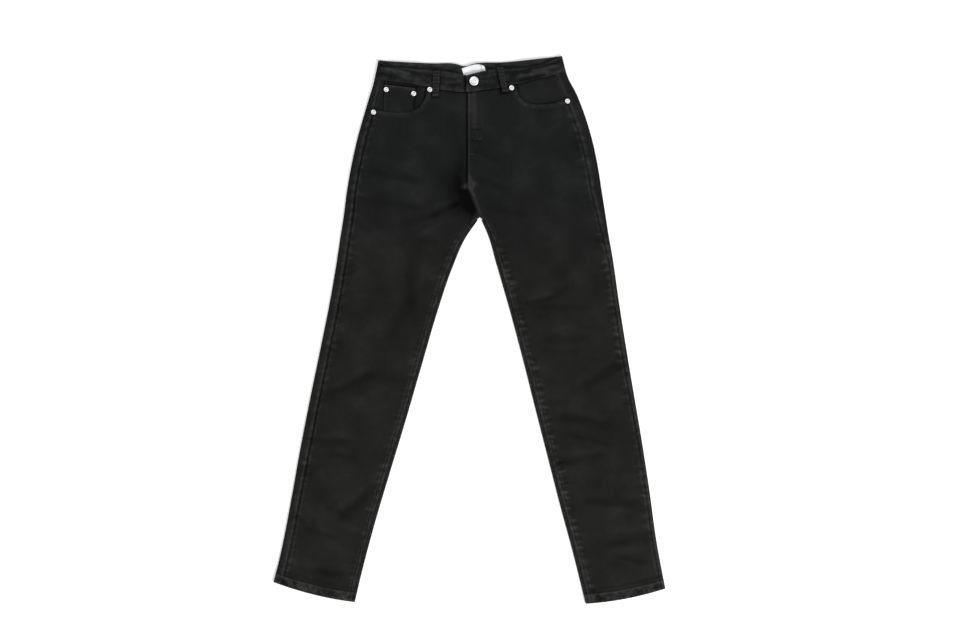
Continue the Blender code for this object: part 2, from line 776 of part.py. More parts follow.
def highest_cloth(x, y):
    """The highest face of the front or its waistband near a point, for what is laid over both."""
    half = HALVES["right" if x < 0 else "left"]
    heights = []
    for near_y in y + np.array([-7, -3.5, 0, 3.5, 7]):
        if near_y > edge_y(FRONT_SEAM, x) - 1:
            heights.append(float(band_top(x, near_y)))
        else:
            raised = max(float(scoop_raise(half, x, near_y)), COIN_RAISE)
            heights.append(float(front_top(half, np.array(x), near_y)) + raised)
    return max(heights)


def front_loop(name, top_x, top_y, foot_x, foot_y, top_width, foot_width):
    """A belt loop of the front, an arch over the waistband."""
    rows = 9
    grid = []
    for share in np.linspace(0, 1, rows):
        x = top_x + share * (foot_x - top_x)
        y = top_y + share * (foot_y - top_y)
        width = top_width + share * (foot_width - top_width)
        z = max(highest_cloth(x - width / 2, y), highest_cloth(x, y), highest_cloth(x + width / 2, y))
        z = z + SEAM + LOOP + LOOP_ARCH * 4 * share * (1 - share)
        grid.append([(x - width / 2, y, z), (x, y, z), (x + width / 2, y, z)])
    wall(name, np.array(grid), LOOP, up=True)


def turned(name, profile, x, y, z, steps):
    """A round metal piece, turned from a profile that runs from the top of its axis to the foot."""
    mesh = bpy.data.meshes.new(name)
    edges = [(i, i + 1) for i in range(len(profile) - 1)]
    mesh.from_pydata([(r * MM, 0, h * MM) for r, h in profile], edges, [])
    mesh.materials.append(material_for(name, "metal"))
    made = bpy.data.objects.new(name, mesh)
    made.location = (x * MM, y * MM, z * MM)
    screw = made.modifiers.new("turn", "SCREW")
    screw.steps = steps
    screw.render_steps = steps
    screw.use_merge_vertices = True
    screw.merge_threshold = 0.00001
    bpy.data.collections["slim_trousers"].objects.link(made)


def rivet(name, x, y):
    """A rivet's head: a low rim, a shallow ring and a raised centre."""
    r = RIVET_RADIUS
    profile = ((0, 1.5), (1.1, 1.35), (1.7, 0.85), (2.8, 0.75), (3.9, 1.1), (r - 0.2, 0.75), (r, 0), (0, 0))
    around = [highest_cloth(x + r * math.cos(a), y + r * math.sin(a)) for a in np.linspace(0, 5.5, 8)]
    turned(name, profile, x, y, max(around) + SEAM, 18)


def button():
    """The button: a rim round a sunk face, on a short neck."""
    r = BUTTON_RADIUS
    face = ((0, 3.0), (1.6, 2.9), (2.2, 2.3), (5.6, 2.5), (7.0, 3.1), (8.0, 2.8), (r, 1.9))
    profile = face + ((7.6, 1.1), (4.0, 0.8), (3.4, 0), (0, 0))
    x, y = BUTTON_PLACE
    turned("button", profile, x, y, float(band_top(x, y) + band_lap_left(x)) + SEAM, 28)


def label():
    """The blank woven label inside the back of the waistband."""
    turn = math.radians(LABEL_TURN)
    us = np.linspace(-0.5, 0.5, 7) * LABEL_SIZE[0]
    vs = np.linspace(0.5, -0.5, 5) * LABEL_SIZE[1]
    u, v = np.meshgrid(us, vs)
    x = LABEL_CENTRE[0] + u * math.cos(turn) - v * math.sin(turn)
    y = LABEL_CENTRE[1] + u * math.sin(turn) + v * math.cos(turn)
    z = np.full_like(x, UNDER_LIFT + BAND + SEAM + LABEL)
    wall("label", np.stack([x, y, z], axis=2), LABEL, up=True, kind="label")


def build():
    for old in list(bpy.data.objects):
        bpy.data.objects.remove(old)
    collection = bpy.data.collections.new("slim_trousers")
    bpy.context.scene.collection.children.link(collection)
    for half in HALVES.values():
        front_panel(half)
        back_panel(half)
        yoke(half)
        pocket_facing(half)
    waistband()
    coin_pocket()
    label()
    for side, cx, cy in PATCH_PLACES:
        patch_pocket(side, cx, cy)
    for name, x in BACK_LOOPS:
        back_loop(name, x)
    for loop in FRONT_LOOPS:
        front_loop(*loop)
    for name, x, y in RIVETS:
        rivet(name, x, y)
    button()


build()
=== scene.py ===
"""Slim trousers of black twill, laid flat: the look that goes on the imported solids.

X runs across the trousers, Y up towards the waist and Z away from the surface that they lie on.
Right and left are the wearer's. Tables and sizes are in millimetres and repeat those of the solids,
so each shell has its solid's form, on a finer grid that takes creases, puckers and stitches.
"""

import math

import bpy
import numpy as np
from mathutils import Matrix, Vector
from mathutils.bvhtree import BVHTree


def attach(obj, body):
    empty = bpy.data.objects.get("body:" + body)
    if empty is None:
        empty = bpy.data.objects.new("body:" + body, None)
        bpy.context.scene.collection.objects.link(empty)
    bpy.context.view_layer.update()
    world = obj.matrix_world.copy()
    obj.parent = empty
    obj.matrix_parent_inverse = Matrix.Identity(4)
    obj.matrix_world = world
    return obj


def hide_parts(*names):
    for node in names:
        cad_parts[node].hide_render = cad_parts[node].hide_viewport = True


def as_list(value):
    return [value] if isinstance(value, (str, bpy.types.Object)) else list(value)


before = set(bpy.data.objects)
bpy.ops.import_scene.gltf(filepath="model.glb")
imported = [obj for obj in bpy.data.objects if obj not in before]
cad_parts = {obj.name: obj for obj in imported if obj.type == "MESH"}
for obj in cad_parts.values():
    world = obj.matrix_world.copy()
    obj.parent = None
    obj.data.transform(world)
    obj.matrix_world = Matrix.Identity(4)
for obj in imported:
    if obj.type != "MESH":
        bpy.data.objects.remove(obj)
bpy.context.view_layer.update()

MM = 0.001

# Thickness of each kind of cloth
CLOTH = 1.1
BAND = 2.0
HEM = 1.9
LOOP = 1.0
COIN = 0.9
LABEL = 0.4
PATCH = 1.0

# What parts one piece from the next
SEAM = 0.3
HALF_SEAM = 0.02

# How the flattened tube stands: its height at a fold and how much higher it is well inside
FOLD_HEIGHT = 3.2
LOFT = 2.2
LOFT_REACH = 22
WAIST_RISE = 1.3
WAIST_RISE_Y = 395
WAIST_RISE_RUN = 60
HEM_RISE = 1.4
BAND_FOLD_HEIGHT = 4.9
BAND_LOFT = 2.6

# The felled seams that meet at the crotch stand this much higher, over this far
CROTCH_BULK = 0.8
CROTCH_BULK_REACH = 9

HEM_DEPTH = 15
INSEAM_WRAP = 5
FLY_LAP = 6.5
FLY_END = 312
FLY_RAISE = 1.5
FLY_WIDTH = 16
BAND_LAP_RIGHT = 14
BAND_LAP_LEFT = -6
SCOOP_RAISE = 1.45
SCOOP_LAP = 8
FACING_DROP = 0.1
COIN_RAISE = COIN + SEAM - FACING_DROP
UNDER_LIFT = PATCH + SEAM

# A section runs from the outer fold to the inner fold, or to the centre seam above the crotch.
# wrap is how far the back panel comes round the outer fold on to the front.
# Columns: outer x, outer y, inner x, inner y, wrap
SECTION_NAMES = (
    "top edge", "waist", "hip", "seat", "low seat", "fork", "crotch", "high thigh", "thigh", "low thigh",
    "knee", "below knee", "calf", "low calf", "ankle", "hem",
)
RIGHT_SECTIONS = (
    (-169, 499.8, -3.6, 476.5, 14), (-176.6, 463.5, -3.6, 440.1, 14), (-190.9, 414.8, -3.3, 401.8, 16),
    (-208.8, 351.5, -2.9, 347.8, 16), (-220.9, 295.7, -3.3, 299.5, 16), (-228, 254, -3, 256, 16),
    (-233.9, 208.3, 20, 208.3, 17), (-239, 176, -6.7, 170, 17), (-246.2, 128.3, -31.7, 113.5, 17),
    (-258.8, 53.9, -60, 29.8, 17), (-277.4, -39.1, -89.4, -70.7, 17), (-296.6, -132.1, -118, -169.3, 17),
    (-314.8, -225.1, -146.7, -264.1, 17), (-331.4, -318.1, -174.9, -359, 16),
    (-349.6, -411.1, -199.7, -452, 16), (-364.3, -470.6, -212.9, -507.8, 16),
)
LEFT_SECTIONS = (
    (172.5, 507.8, -3.6, 476.5, 20), (180, 478, -3.6, 440.1, 20), (201.9, 431.5, -3.3, 401.8, 22),
    (228.7, 351.5, -2.9, 347.8, 21), (239.7, 299.5, -3.3, 299.5, 20), (246.8, 254, -3, 256, 19),
    (254, 208.3, 20, 208.3, 15), (258.6, 178, 35.8, 172, 12), (266.1, 135.8, 49.4, 124.6, 9),
    (278.5, 50.2, 76.2, 31.6, 9), (291.9, -35.3, 100, -57.7, 9), (306.8, -124.6, 123, -148.8, 8),
    (321.9, -213.9, 146.3, -239.9, 7), (335.6, -303.2, 169.7, -331.1, 7), (347.9, -392.5, 193.9, -420.4, 7),
    (364.7, -482.7, 216.2, -510.9, 7),
)

# The seam up the middle, front and back, as x and y from the crotch to the waistband's top
CENTRE_SEAM = (
    (20, 208.3), (6, 236), (-3, 262), (-3.3, 300), (-2.9, 348), (-3.3, 402), (-3.6, 440), (-3.6, 500),
)

# Edges that run across the top, each as x and y from the right side to the left
FRONT_SEAM = (
    (-176.6, 463.5), (-143.7, 459.8), (-113.9, 456.6), (-84.2, 450.5), (-54.4, 444.5), (-4.2, 440.1),
    (34.9, 444.9), (60.9, 448.6), (85.1, 454.2), (113, 461.3), (140.9, 467.6), (180, 478),
)
BACK_SEAM = (
    (-176.6, 463.5), (-113.9, 461.3), (-54.4, 457.6), (-2.3, 453.8), (57.2, 458.5), (113, 466.9), (180, 478),
)
BACK_TOP = (
    (-169, 499.8), (-125.1, 496.6), (-69.3, 494.2), (-24.6, 492.9), (-9.5, 488.8), (8.8, 493.5), (64.6, 496.1),
    (109.3, 500.3), (153.9, 505.5), (172.5, 507.8),
)
FRONT_TOP_RIGHT = (
    (-169, 499.8), (-158.6, 493.8), (-143.7, 488.8), (-113.9, 484.9), (-58.1, 479.5), (-24.6, 476.5),
    (-6, 471.5), (16, 469.5),
)
FRONT_TOP_LEFT = (
    (-8, 470.6), (7, 474.7), (20, 478), (53.5, 483), (79.5, 483.6), (109.3, 486.4), (131.6, 491.4),
    (153.9, 498.5), (172.5, 507.8),
)

# The pocket openings, from the side seam to the waistband
SCOOP_RIGHT = (
    (-175.3, 409.3), (-158, 404.8), (-136, 402.6), (-113.9, 403.6), (-95.3, 411.1), (-84.2, 425.9),
    (-77.5, 449),
)
SCOOP_LEFT = (
    (180.3, 428.4), (163, 421.8), (142, 418), (122.3, 417.8), (107, 420.9), (94.4, 431.5), (86.5, 454.4),
)

# The two upper corners of the coin pocket, and how much it narrows to its foot
COIN_TOP = ((-159.5, 454.5), (-98.5, 447.0))
COIN_TAPER = 5

YOKE_DROP_SIDE = 30
YOKE_CENTRE_Y = 380
CENTRE_BACK_Y = 453.8

# Soft troughs and ridges that show on the front.
# Columns: start x, start y, end x, end y, half width, height
FOLDS = (
    (-266, -89, -185, -119, 13, -0.8), (-260, -66, -190, -92, 14, 0.7), (-140, 140, -98, 104, 13, -0.7),
    (-296, -206, -222, -206, 13, -0.7), (-240, -300, -182, -345, 13, -0.8), (-268, -445, -231, -463, 11, -0.6),
    (-200, 330, -60, 300, 22, 0.5), (-210, 262, -90, 236, 20, -0.6), (109, 46, 184, 80, 13, -0.9),
    (112, 72, 190, 104, 15, 0.6), (141, -11, 243, -30, 13, -0.9), (150, 14, 240, -6, 13, 0.6),
    (219, -71, 275, -95, 12, -0.7), (156, -138, 249, -175, 13, -0.9), (187, -234, 243, -253, 12, -0.7),
    (215, -318, 280, -327, 12, -0.7), (252, -383, 336, -402, 13, -0.8), (262, -424, 299, -434, 11, 0.5),
    (60, 330, 200, 300, 22, 0.5), (90, 250, 215, 262, 20, -0.6), (-6, 246, -10, 222, 11, -1.3),
    (-14, 284, 4, 256, 9, 0.8), (4, 256, 18, 216, 9, 0.9),
)

# The patch pockets of the back. Columns: side, centre x, centre y
PATCH_PLACES = (
    ("right", -98, 284),
    ("left", 106, 286),
)
PATCH_WIDTH = 140
PATCH_DEPTH = 148
PATCH_TAPER = 5
PATCH_POINT = 24

# The belt loops of the back. Columns: name, x
BACK_LOOPS = (
    ("belt_loop_back_right", -118),
    ("belt_loop_back_centre", -3),
    ("belt_loop_back_left", 114),
)
LOOP_WIDTH = 12.5
LOOP_TAIL = 9

# The back is fully lifted this far round a pocket or loop under it, and lies down over the next stretch
LIFT_MARGIN = 15
LIFT_RUN = 14

# Columns: name, top x, top y, foot x, foot y, top width, foot width
FRONT_LOOPS = (
    ("belt_loop_front_right", -60.7, 480.0, -63.0, 432.1, 13.0, 11.5),
    ("belt_loop_front_left", 57.2, 486.4, 67.0, 440.8, 11.5, 11.0),
)
LOOP_ARCH = 1.3

# Columns: name, x, y
RIVETS = (
    ("rivet_side_right", -178.0, 403.0),
    ("rivet_coin_side", -154.3, 445.1),
    ("rivet_coin_front", -103.3, 437.5),
    ("rivet_scoop_right", -73.4, 445.0),
    ("rivet_scoop_left", 78.6, 448.2),
    ("rivet_side_left", 182.6, 423.5),
)
RIVET_RADIUS = 4.75
BUTTON_PLACE = (8.8, 460.7)
BUTTON_RADIUS = 8.5


def smooth(knots, values, at):
    """A soft curve through the values, read at any place between the knots."""
    knots = np.asarray(knots, float)
    values = np.asarray(values, float)
    if knots[0] > knots[-1]:
        knots = knots[::-1]
        values = values[::-1]
    step = np.diff(knots)
    slope = np.diff(values) / step
    tangent = np.empty_like(values)
    tangent[1:-1] = (slope[:-1] * step[1:] + slope[1:] * step[:-1]) / (step[:-1] + step[1:])
    tangent[0] = slope[0]
    tangent[-1] = slope[-1]
    at = np.clip(np.asarray(at, float), knots[0], knots[-1])
    i = np.clip(np.searchsorted(knots, at) - 1, 0, len(step) - 1)
    u = (at - knots[i]) / step[i]
    rise = values[i + 1] - values[i]
    start = tangent[i] * step[i]
    end = tangent[i + 1] * step[i]
    return values[i] + u * start + u**2 * (3 * rise - 2 * start - end) + u**3 * (start + end - 2 * rise)


def ease(value):
    """0 below 0, 1 above 1 and a soft step between."""
    value = np.clip(value, 0, 1)
    return value * value * (3 - 2 * value)


def bell(away, width, centre=0, power=2):
    """1 at the centre, falling softly to 0 on both sides, over about the width."""
    return np.exp(-(((away - centre) / width) ** power))


def marks_along(line):
    """How far along a line each of its points is."""
    return np.concatenate([[0], np.cumsum(np.linalg.norm(np.diff(line, axis=0), axis=1))])


def on_line(line, marks, at):
    """The places on a line that are at some marks along it."""
    return np.stack([np.interp(at, marks, line[:, 0]), np.interp(at, marks, line[:, 1])], axis=-1)


def along_curve(points, count):
    """Points spread evenly along a soft curve through the given ones."""
    points = np.asarray(points, float)
    marks = marks_along(points)
    fine = np.linspace(0, marks[-1], 200)
    line = np.stack([smooth(marks, points[:, 0], fine), smooth(marks, points[:, 1], fine)], axis=1)
    reach = marks_along(line)
    return on_line(line, reach, np.linspace(0, reach[-1], count))


def offset_line(line, away):
    """A line a fixed way to the left of another as it runs."""
    line = np.asarray(line, float)
    run = np.gradient(line, axis=0)
    run = run / np.linalg.norm(run, axis=1, keepdims=True)
    return line + np.stack([-run[:, 1], run[:, 0]], axis=1) * away


def edge_y(edge, x):
    """The y of one of the edges across the top, at x."""
    return smooth(*zip(*edge), x)


def off_ends(grid):
    """The distances in plan from each point to the first and to the last of its row."""
    plan = grid[..., :2]
    return [np.linalg.norm(plan - end, axis=2) for end in (plan[:, :1], plan[:, -1:])]


class Half:
    """One leg and its half of the hips, read from its table of sections."""

    def __init__(self, name, table, scoop):
        self.name = name
        self.outer_x, self.outer_y, self.inner_x, self.inner_y, self.wrap = np.array(table, float).T
        self.waist_y = self.outer_y[SECTION_NAMES.index("waist")]
        self.crotch_row = SECTION_NAMES.index("crotch")
        self.crotch_y = self.outer_y[self.crotch_row]
        self.hem_y = self.outer_y[-1]
        self.crotch = np.array([self.inner_x[self.crotch_row], self.inner_y[self.crotch_row]])
        self.hem_start = np.array([self.outer_x[-1], self.outer_y[-1]])
        self.hem_end = np.array([self.inner_x[-1], self.inner_y[-1]])
        self.inward = -math.copysign(1, self.outer_x[0])
        self.scoop = np.array(scoop)

    def section(self, y):
        """The outer point, the inner point and the wrap of the section whose outer point is at y."""
        outer = np.array([float(self.outer_at(y)), y])
        part = slice(0, self.crotch_row + 1) if y > self.crotch_y else slice(self.crotch_row, None)
        inner_y = float(smooth(self.outer_y[part], self.inner_y[part], y))
        inner = np.array([float(self.inner_at(inner_y)), inner_y])
        return outer, inner, float(smooth(self.outer_y, self.wrap, y))

    def outer_at(self, y):
        return smooth(self.outer_y, self.outer_x, y)

    def inner_at(self, y):
        """The x of the inner fold or, above the crotch, of the centre seam."""
        leg = smooth(self.inner_y[self.crotch_row:], self.inner_x[self.crotch_row:], y)
        seam = smooth([p[1] for p in CENTRE_SEAM], [p[0] for p in CENTRE_SEAM], y)
        return np.where(np.asarray(y) >= self.crotch[1], seam, leg)

    def from_hem(self, x, y):
        """How far above the hem a point is."""
        run = self.hem_end - self.hem_start
        run = run / np.linalg.norm(run)
        return abs((x - self.hem_start[0]) * run[1] - (y - self.hem_start[1]) * run[0])

    def from_folds(self, x, y):
        """The distances to the outer fold and to the inner fold, which starts at the crotch."""
        outer = abs(x - self.outer_at(y))
        below = abs(x - self.inner_at(y))
        above = np.hypot(x - self.crotch[0], y - self.crotch[1])
        return outer, np.where(y < self.crotch[1], below, above)

    def reached(self, y, reach):
        """A point on the section at y, a given reach in from the outer fold."""
        outer, inner, _ = self.section(y)
        return outer + (inner - outer) / np.linalg.norm(inner - outer) * reach

    def beside_seam(self, y, past=0):
        """The side seam as the front sees it, or a point past it."""
        return self.reached(y, self.section(y)[2] + past)

    def band_edge(self, share):
        """The x of the waistband's fold, a share of the way from its seam to its top edge."""
        return self.outer_x[1] + share * (self.outer_x[0] - self.outer_x[1])

    def seam_top(self):
        """The section where the side seam meets the waistband."""
        y = self.waist_y
        for _ in range(5):
            x, y_here = self.reached(y, float(self.wrap[1]))
            y -= y_here - (float(edge_y(FRONT_SEAM, x)) - HALF_SEAM)
        return y

    def fold_height(self, x, y):
        rise = WAIST_RISE * ease((y - WAIST_RISE_Y) / WAIST_RISE_RUN)
        return FOLD_HEIGHT + rise + HEM_RISE * ease(2 - self.from_hem(x, y) / HEM_DEPTH)


HALVES = {
    "right": Half("right", RIGHT_SECTIONS, SCOOP_RIGHT),
    "left": Half("left", LEFT_SECTIONS, SCOOP_LEFT),
}


def folds_at(x, y, table):
    """The height that all the folds of a table together add at a point."""
    total = np.zeros_like(x, float)
    for x0, y0, x1, y1, width, height in table:
        run = np.array([x1 - x0, y1 - y0], float)
        length = np.linalg.norm(run)
        run = run / length
        along = (x - x0) * run[0] + (y - y0) * run[1]
        off = (x - x0) * run[1] - (y - y0) * run[0]
        beyond = np.maximum(np.maximum(-along, along - length), 0)
        total += height * np.exp(-((off / width) ** 2) - (beyond / (1.5 * width)) ** 2)
    return total


def under_lift(x, y):
    """How far the pieces under the back hold it off the surface at a point."""
    boxes = [(cx, cy, PATCH_WIDTH / 2, PATCH_DEPTH / 2) for _, cx, cy in PATCH_PLACES]
    for _, cx in BACK_LOOPS:
        top = edge_y(BACK_TOP, cx)
        foot = edge_y(BACK_SEAM, cx) - LOOP_TAIL
        boxes.append((cx, (top + foot) / 2, LOOP_WIDTH / 2, (top - foot) / 2))
    total = np.zeros_like(x, float)
    for cx, cy, half_width, half_height in boxes:
        dx = np.maximum(abs(x - cx) - half_width - LIFT_MARGIN, 0)
        dy = np.maximum(abs(y - cy) - half_height - LIFT_MARGIN, 0)
        total = np.maximum(total, UNDER_LIFT * (1 - ease(np.hypot(dx, dy) / LIFT_RUN)))
    return total


def front_top(half, x, y):
    """The upper face of the front, without what is raised at the fly and the pockets."""
    outer, inner = half.from_folds(x, y)
    radius = FOLD_HEIGHT / 2
    outer = np.maximum(outer - radius, 0)
    inner = np.maximum(inner - radius, 0)
    share = (1 - np.exp(-outer / LOFT_REACH)) * (1 - np.exp(-inner / LOFT_REACH))
    folds = folds_at(x, y, FOLDS) * ease(outer / 20) * ease(inner / 12)
    bulk = CROTCH_BULK * np.exp(-((x - half.crotch[0]) ** 2 + (y - half.crotch[1]) ** 2) / CROTCH_BULK_REACH**2)
    return half.fold_height(x, y) + LOFT * share + folds + bulk


def scoop_raise(half, x, y):
    """The front's extra height where it lies over the pocket facing."""
    edge = along_curve(half.scoop, 40)
    away = np.hypot(np.asarray(x)[..., None] - edge[:, 0], np.asarray(y)[..., None] - edge[:, 1]).min(-1)
    return SCOOP_RAISE * (1 - ease((away - SCOOP_LAP - 4) / 26))


def fly_raise(x, y):
    """The extra height of the left front where it laps over the right one."""
    return FLY_RAISE * (1 - ease((x - FLY_WIDTH) / 16)) * ease((y - FLY_END + 34) / 22)


def band_top(x, y):
    """The upper face of the front of the waistband, before its ends lap."""
    x = np.asarray(x, float)
    right = HALVES["right"].outer_at(y)
    left = HALVES["left"].outer_at(y)
    outer = np.maximum(np.minimum(x - right, left - x) - BAND_FOLD_HEIGHT / 2, 0)
    return BAND_FOLD_HEIGHT + BAND_LOFT * (1 - np.exp(-outer / LOFT_REACH))


def band_lap_right(x):
    return -1.1 * ease((x + 30) / 22)


def band_lap_left(x):
    return 1.25 * (1 - ease((x - 16) / 30)) - 0.3 * bell(x, 1.1, BAND_LAP_LEFT)


# ---------------------------------------------------------------- finer forms

# Fine creases of the front. Columns: start x, start y, end x, end y, half width, height
CREASES = (
    (-255, -119, -194, -90, 8.5, -0.4), (-246, -98, -200, -76, 7, 0.35), (-182, -86, -124, -94, 12, -0.3),
    (-84, 166, -68, 164, 9, -0.3), (-95, 150, -112, 100, 12, -0.3), (-110, 100, -106, 50, 12, -0.25),
    (-112, 50, -147, -11, 13, -0.3), (-292, -204, -232, -208, 8, -0.3), (-288, -196, -238, -200, 5, 0.25),
    (-262, -232, -214, -240, 6, -0.25), (-230, -344, -197, -314, 10, -0.45), (-238, -326, -206, -300, 7, 0.25),
    (-262, -330, -226, -352, 6, -0.25), (-240, -364, -206, -372, 5, 0.3), (-300, -372, -254, -388, 6, -0.3),
    (-276, -450, -246, -456, 8, -0.5), (-256, -400, -234, -412, 10, 0.5), (-330, -432, -290, -440, 6, 0.3),
    (-196, 318, -120, 306, 8, 0.3), (-200, 296, -110, 280, 8, -0.3), (-176, 240, -96, 226, 7, -0.3),
    (-120, 196, -60, 214, 7, -0.35), (-96, 176, -34, 206, 6, 0.35), (-70, 210, -26, 232, 5, -0.4),
    (-58, 232, -22, 246, 5, 0.35), (5, 372, 20, 371, 2.2, -0.3), (6, 376.5, 20, 376, 2.4, 0.2),
    (7, 350, 19, 349, 2.2, -0.3), (8, 354, 19, 353.5, 2.4, 0.2), (9, 436, 9, 376, 5, 0.3),
    (12, 334, 44, 316, 5, -0.35), (14, 322, 52, 300, 5, 0.3), (20, 280, 66, 262, 7, -0.35),
    (24, 262, 76, 240, 7, 0.3), (40, 226, 96, 214, 7, -0.3), (110, 50, 150, 58, 5, -0.35),
    (150, 58, 184, 79, 6, -0.25), (112, 58, 148, 66, 4, 0.35), (138, 42, 212, 40, 7, -0.3),
    (128, 6, 176, 2, 6, 0.25), (150, -20, 214, -17, 9, -0.3), (140, -41, 196, -43, 8, -0.28),
    (216, -106, 272, -68, 11, -0.4), (206, -92, 262, -56, 8, 0.25), (146, -138, 174, -138, 7, -0.35),
    (176, -162, 252, -178, 10, -0.4), (170, -146, 240, -158, 8, 0.25), (190, -196, 258, -214, 6, -0.3),
    (172, -248, 238, -236, 8.5, -0.4), (166, -247, 188, -249, 3.4, -0.2), (180, -228, 244, -222, 7, 0.25),
    (226, -320, 296, -326, 10, -0.4), (226, -330, 300, -336, 5, 0.3), (266, -398, 322, -387, 11, -0.42),
    (262, -412, 318, -406, 8, 0.25), (258, -424, 300, -436, 5, 0.3), (270, -430, 318, -431, 8, -0.4),
    (-9, 256, -2, 226, 8, -0.3), (-16, 330, -14, 270, 13, -0.25), (-2, 262, 14, 226, 4, 0.5),
    (-16, 288, -4, 268, 4, 0.4),
)

# Creases of the underside, each a place where the cloth stands off the surface.
# Columns: start x, start y, end x, end y, half width, height
BACK_CREASES = (
    (-210, 196, -60, 176, 13, 0.7), (-200, 170, -90, 148, 9, 0.5), (-180, 214, -40, 206, 8, 0.45),
    (-250, -36, -130, -58, 12, 0.7), (-262, -66, -150, -92, 9, 0.6), (-240, -2, -140, -22, 8, 0.4),
    (-286, -180, -200, -204, 11, 0.5), (-310, -300, -220, -330, 12, 0.6), (-330, -380, -250, -396, 9, 0.5),
    (-334, -430, -240, -452, 9, 0.6), (70, 172, 216, 190, 13, 0.7), (84, 146, 200, 164, 9, 0.5),
    (50, 204, 190, 212, 8, 0.45), (120, -40, 250, -20, 12, 0.7), (130, -74, 262, -48, 9, 0.6),
    (150, -4, 240, 12, 8, 0.4), (170, -196, 284, -176, 11, 0.5), (190, -316, 300, -296, 12, 0.6),
    (230, -392, 320, -372, 9, 0.5), (240, -448, 340, -424, 9, 0.6), (-60, 350, -20, 300, 7, 0.4),
    (20, 300, 56, 350, 7, 0.4), (-30, 330, -10, 240, 6, 0.4), (6, 330, 22, 250, 6, 0.4),
)

# Creases of the waistband's front. Columns as above
BAND_CREASES = (
    (-166, 492, -118, 482, 3, -0.4), (-160, 485, -112, 476, 3.2, 0.4), (-164, 474, -128, 468, 3, -0.35),
    (-128, 470, -84, 460, 3, 0.35), (-112, 478, -72, 471, 2.8, -0.35), (-104, 464, -76, 459, 2.6, -0.3),
    (-50, 472, -26, 469, 3, 0.25), (-52, 456, -18, 452, 3, -0.3), (70, 477, 104, 479, 3, -0.3),
    (92, 470, 146, 479, 3.4, 0.5), (96, 462, 150, 473, 3.2, -0.45), (112, 485, 160, 495, 3, -0.45),
    (118, 480, 164, 490, 2.8, 0.4), (140, 470, 172, 482, 3, 0.35), (24, 470, 48, 474, 2.8, 0.25),
    (22, 452, 52, 456, 3, -0.25),
)

# Painted shade where cloth lies in a hollow or in the shadow of the edge of a higher piece, and painted
# highlights on ridges and edges, which are partly real rubbing.
# Columns: start x, start y, end x, end y, half width, and the amount, negative where shade is painted
PAINTED_SHADE_HIGHLIGHTS_AND_RUBS = (
    (-16, 320, -14, 284, 12, -0.13), (-26, 286, -18, 236, 17, -0.42), (-46, 274, -30, 232, 15, -0.24),
    (-10, 252, -2, 226, 12, -0.45), (-3, 244, 5, 224, 6.5, -0.4), (10, 220, -1, 196, 3.4, -0.4),
    (-4.6, 437, -4.4, 256, 1.6, -0.85), (-4.4, 256, 10, 222, 1.6, -0.7), (-0.8, 436, -0.8, 262, 1.5, 0.5),
    (9, 434, 9, 376, 5.5, 0.2), (-7, 265, 4, 268, 5, 1.25), (1, 280, 3, 262, 4.2, 0.7),
    (1, 262, 8, 250, 2.4, 0.4), (8, 250, 21, 214, 2.4, 0.4), (-98.5, 446, -103.5, 416, 2.6, -0.5),
    (-158, 456.8, -98, 449.6, 1.6, -0.7), (-156, 452.6, -100, 445.4, 1.4, 0.4), (50, 485, 59.6, 443, 2.4, -0.9),
    (-52.8, 478, -55.6, 434, 1.5, -0.6), (-68.5, 478, -70, 434, 1.3, -0.4), (-70, 430.2, -56, 430, 1.7, -0.7),
    (60, 438, 74, 439.4, 1.8, -0.9), (-7.6, 470, -8, 442, 1.9, -0.9), (-3.2, 470, -3.4, 443, 1.8, 0.45),
    (-162, 489, -140, 487, 2.6, -0.5), (5, 371.5, 20, 370.5, 1.8, -0.3), (6, 350, 19, 349, 1.8, -0.28),
)

# Rows of stitches, each by its distance from its seam or edge
HEM_ROW = 15.4
INSEAM_ROWS = (6.4, 12.8)
SCOOP_ROWS = (2.4, 8.6)
YOKE_ROWS = (2.2, 8.4)
PATCH_ROWS = (2.0, 8.0)
COIN_ROWS = (1.8, 7.0)

HEM_BEND = 4.7
HEM_BEND_REACH = 90


def mottle(x, y, size, seed):
    """Soft uneven lumps from -1 to 1, of about the given size."""
    x = np.asarray(x, float)
    y = np.asarray(y, float)
    count = 97
    values = np.random.default_rng(seed).uniform(-1, 1, (count, count))
    u = x / size
    v = y / size
    i = np.floor(u).astype(int)
    j = np.floor(v).astype(int)
    fu = ease(u - i)
    fv = ease(v - j)
    here, right = i % count, (i + 1) % count
    low = values[here, j % count] * (1 - fu) + values[right, j % count] * fu
    high = values[here, (j + 1) % count] * (1 - fu) + values[right, (j + 1) % count] * fu
    return low * (1 - fv) + high * fv


def near(x, y, line):
    """The distance from each point to a line through points in plan."""
    x = np.asarray(x, float)
    y = np.asarray(y, float)
    least = np.full(x.shape, 1e9)
    for (x0, y0), (x1, y1) in zip(line[:-1], line[1:]):
        run_x = x1 - x0
        run_y = y1 - y0
        share = np.clip(((x - x0) * run_x + (y - y0) * run_y) / (run_x**2 + run_y**2), 0, 1)
        least = np.minimum(least, np.hypot(x - x0 - share * run_x, y - y0 - share * run_y))
    return least


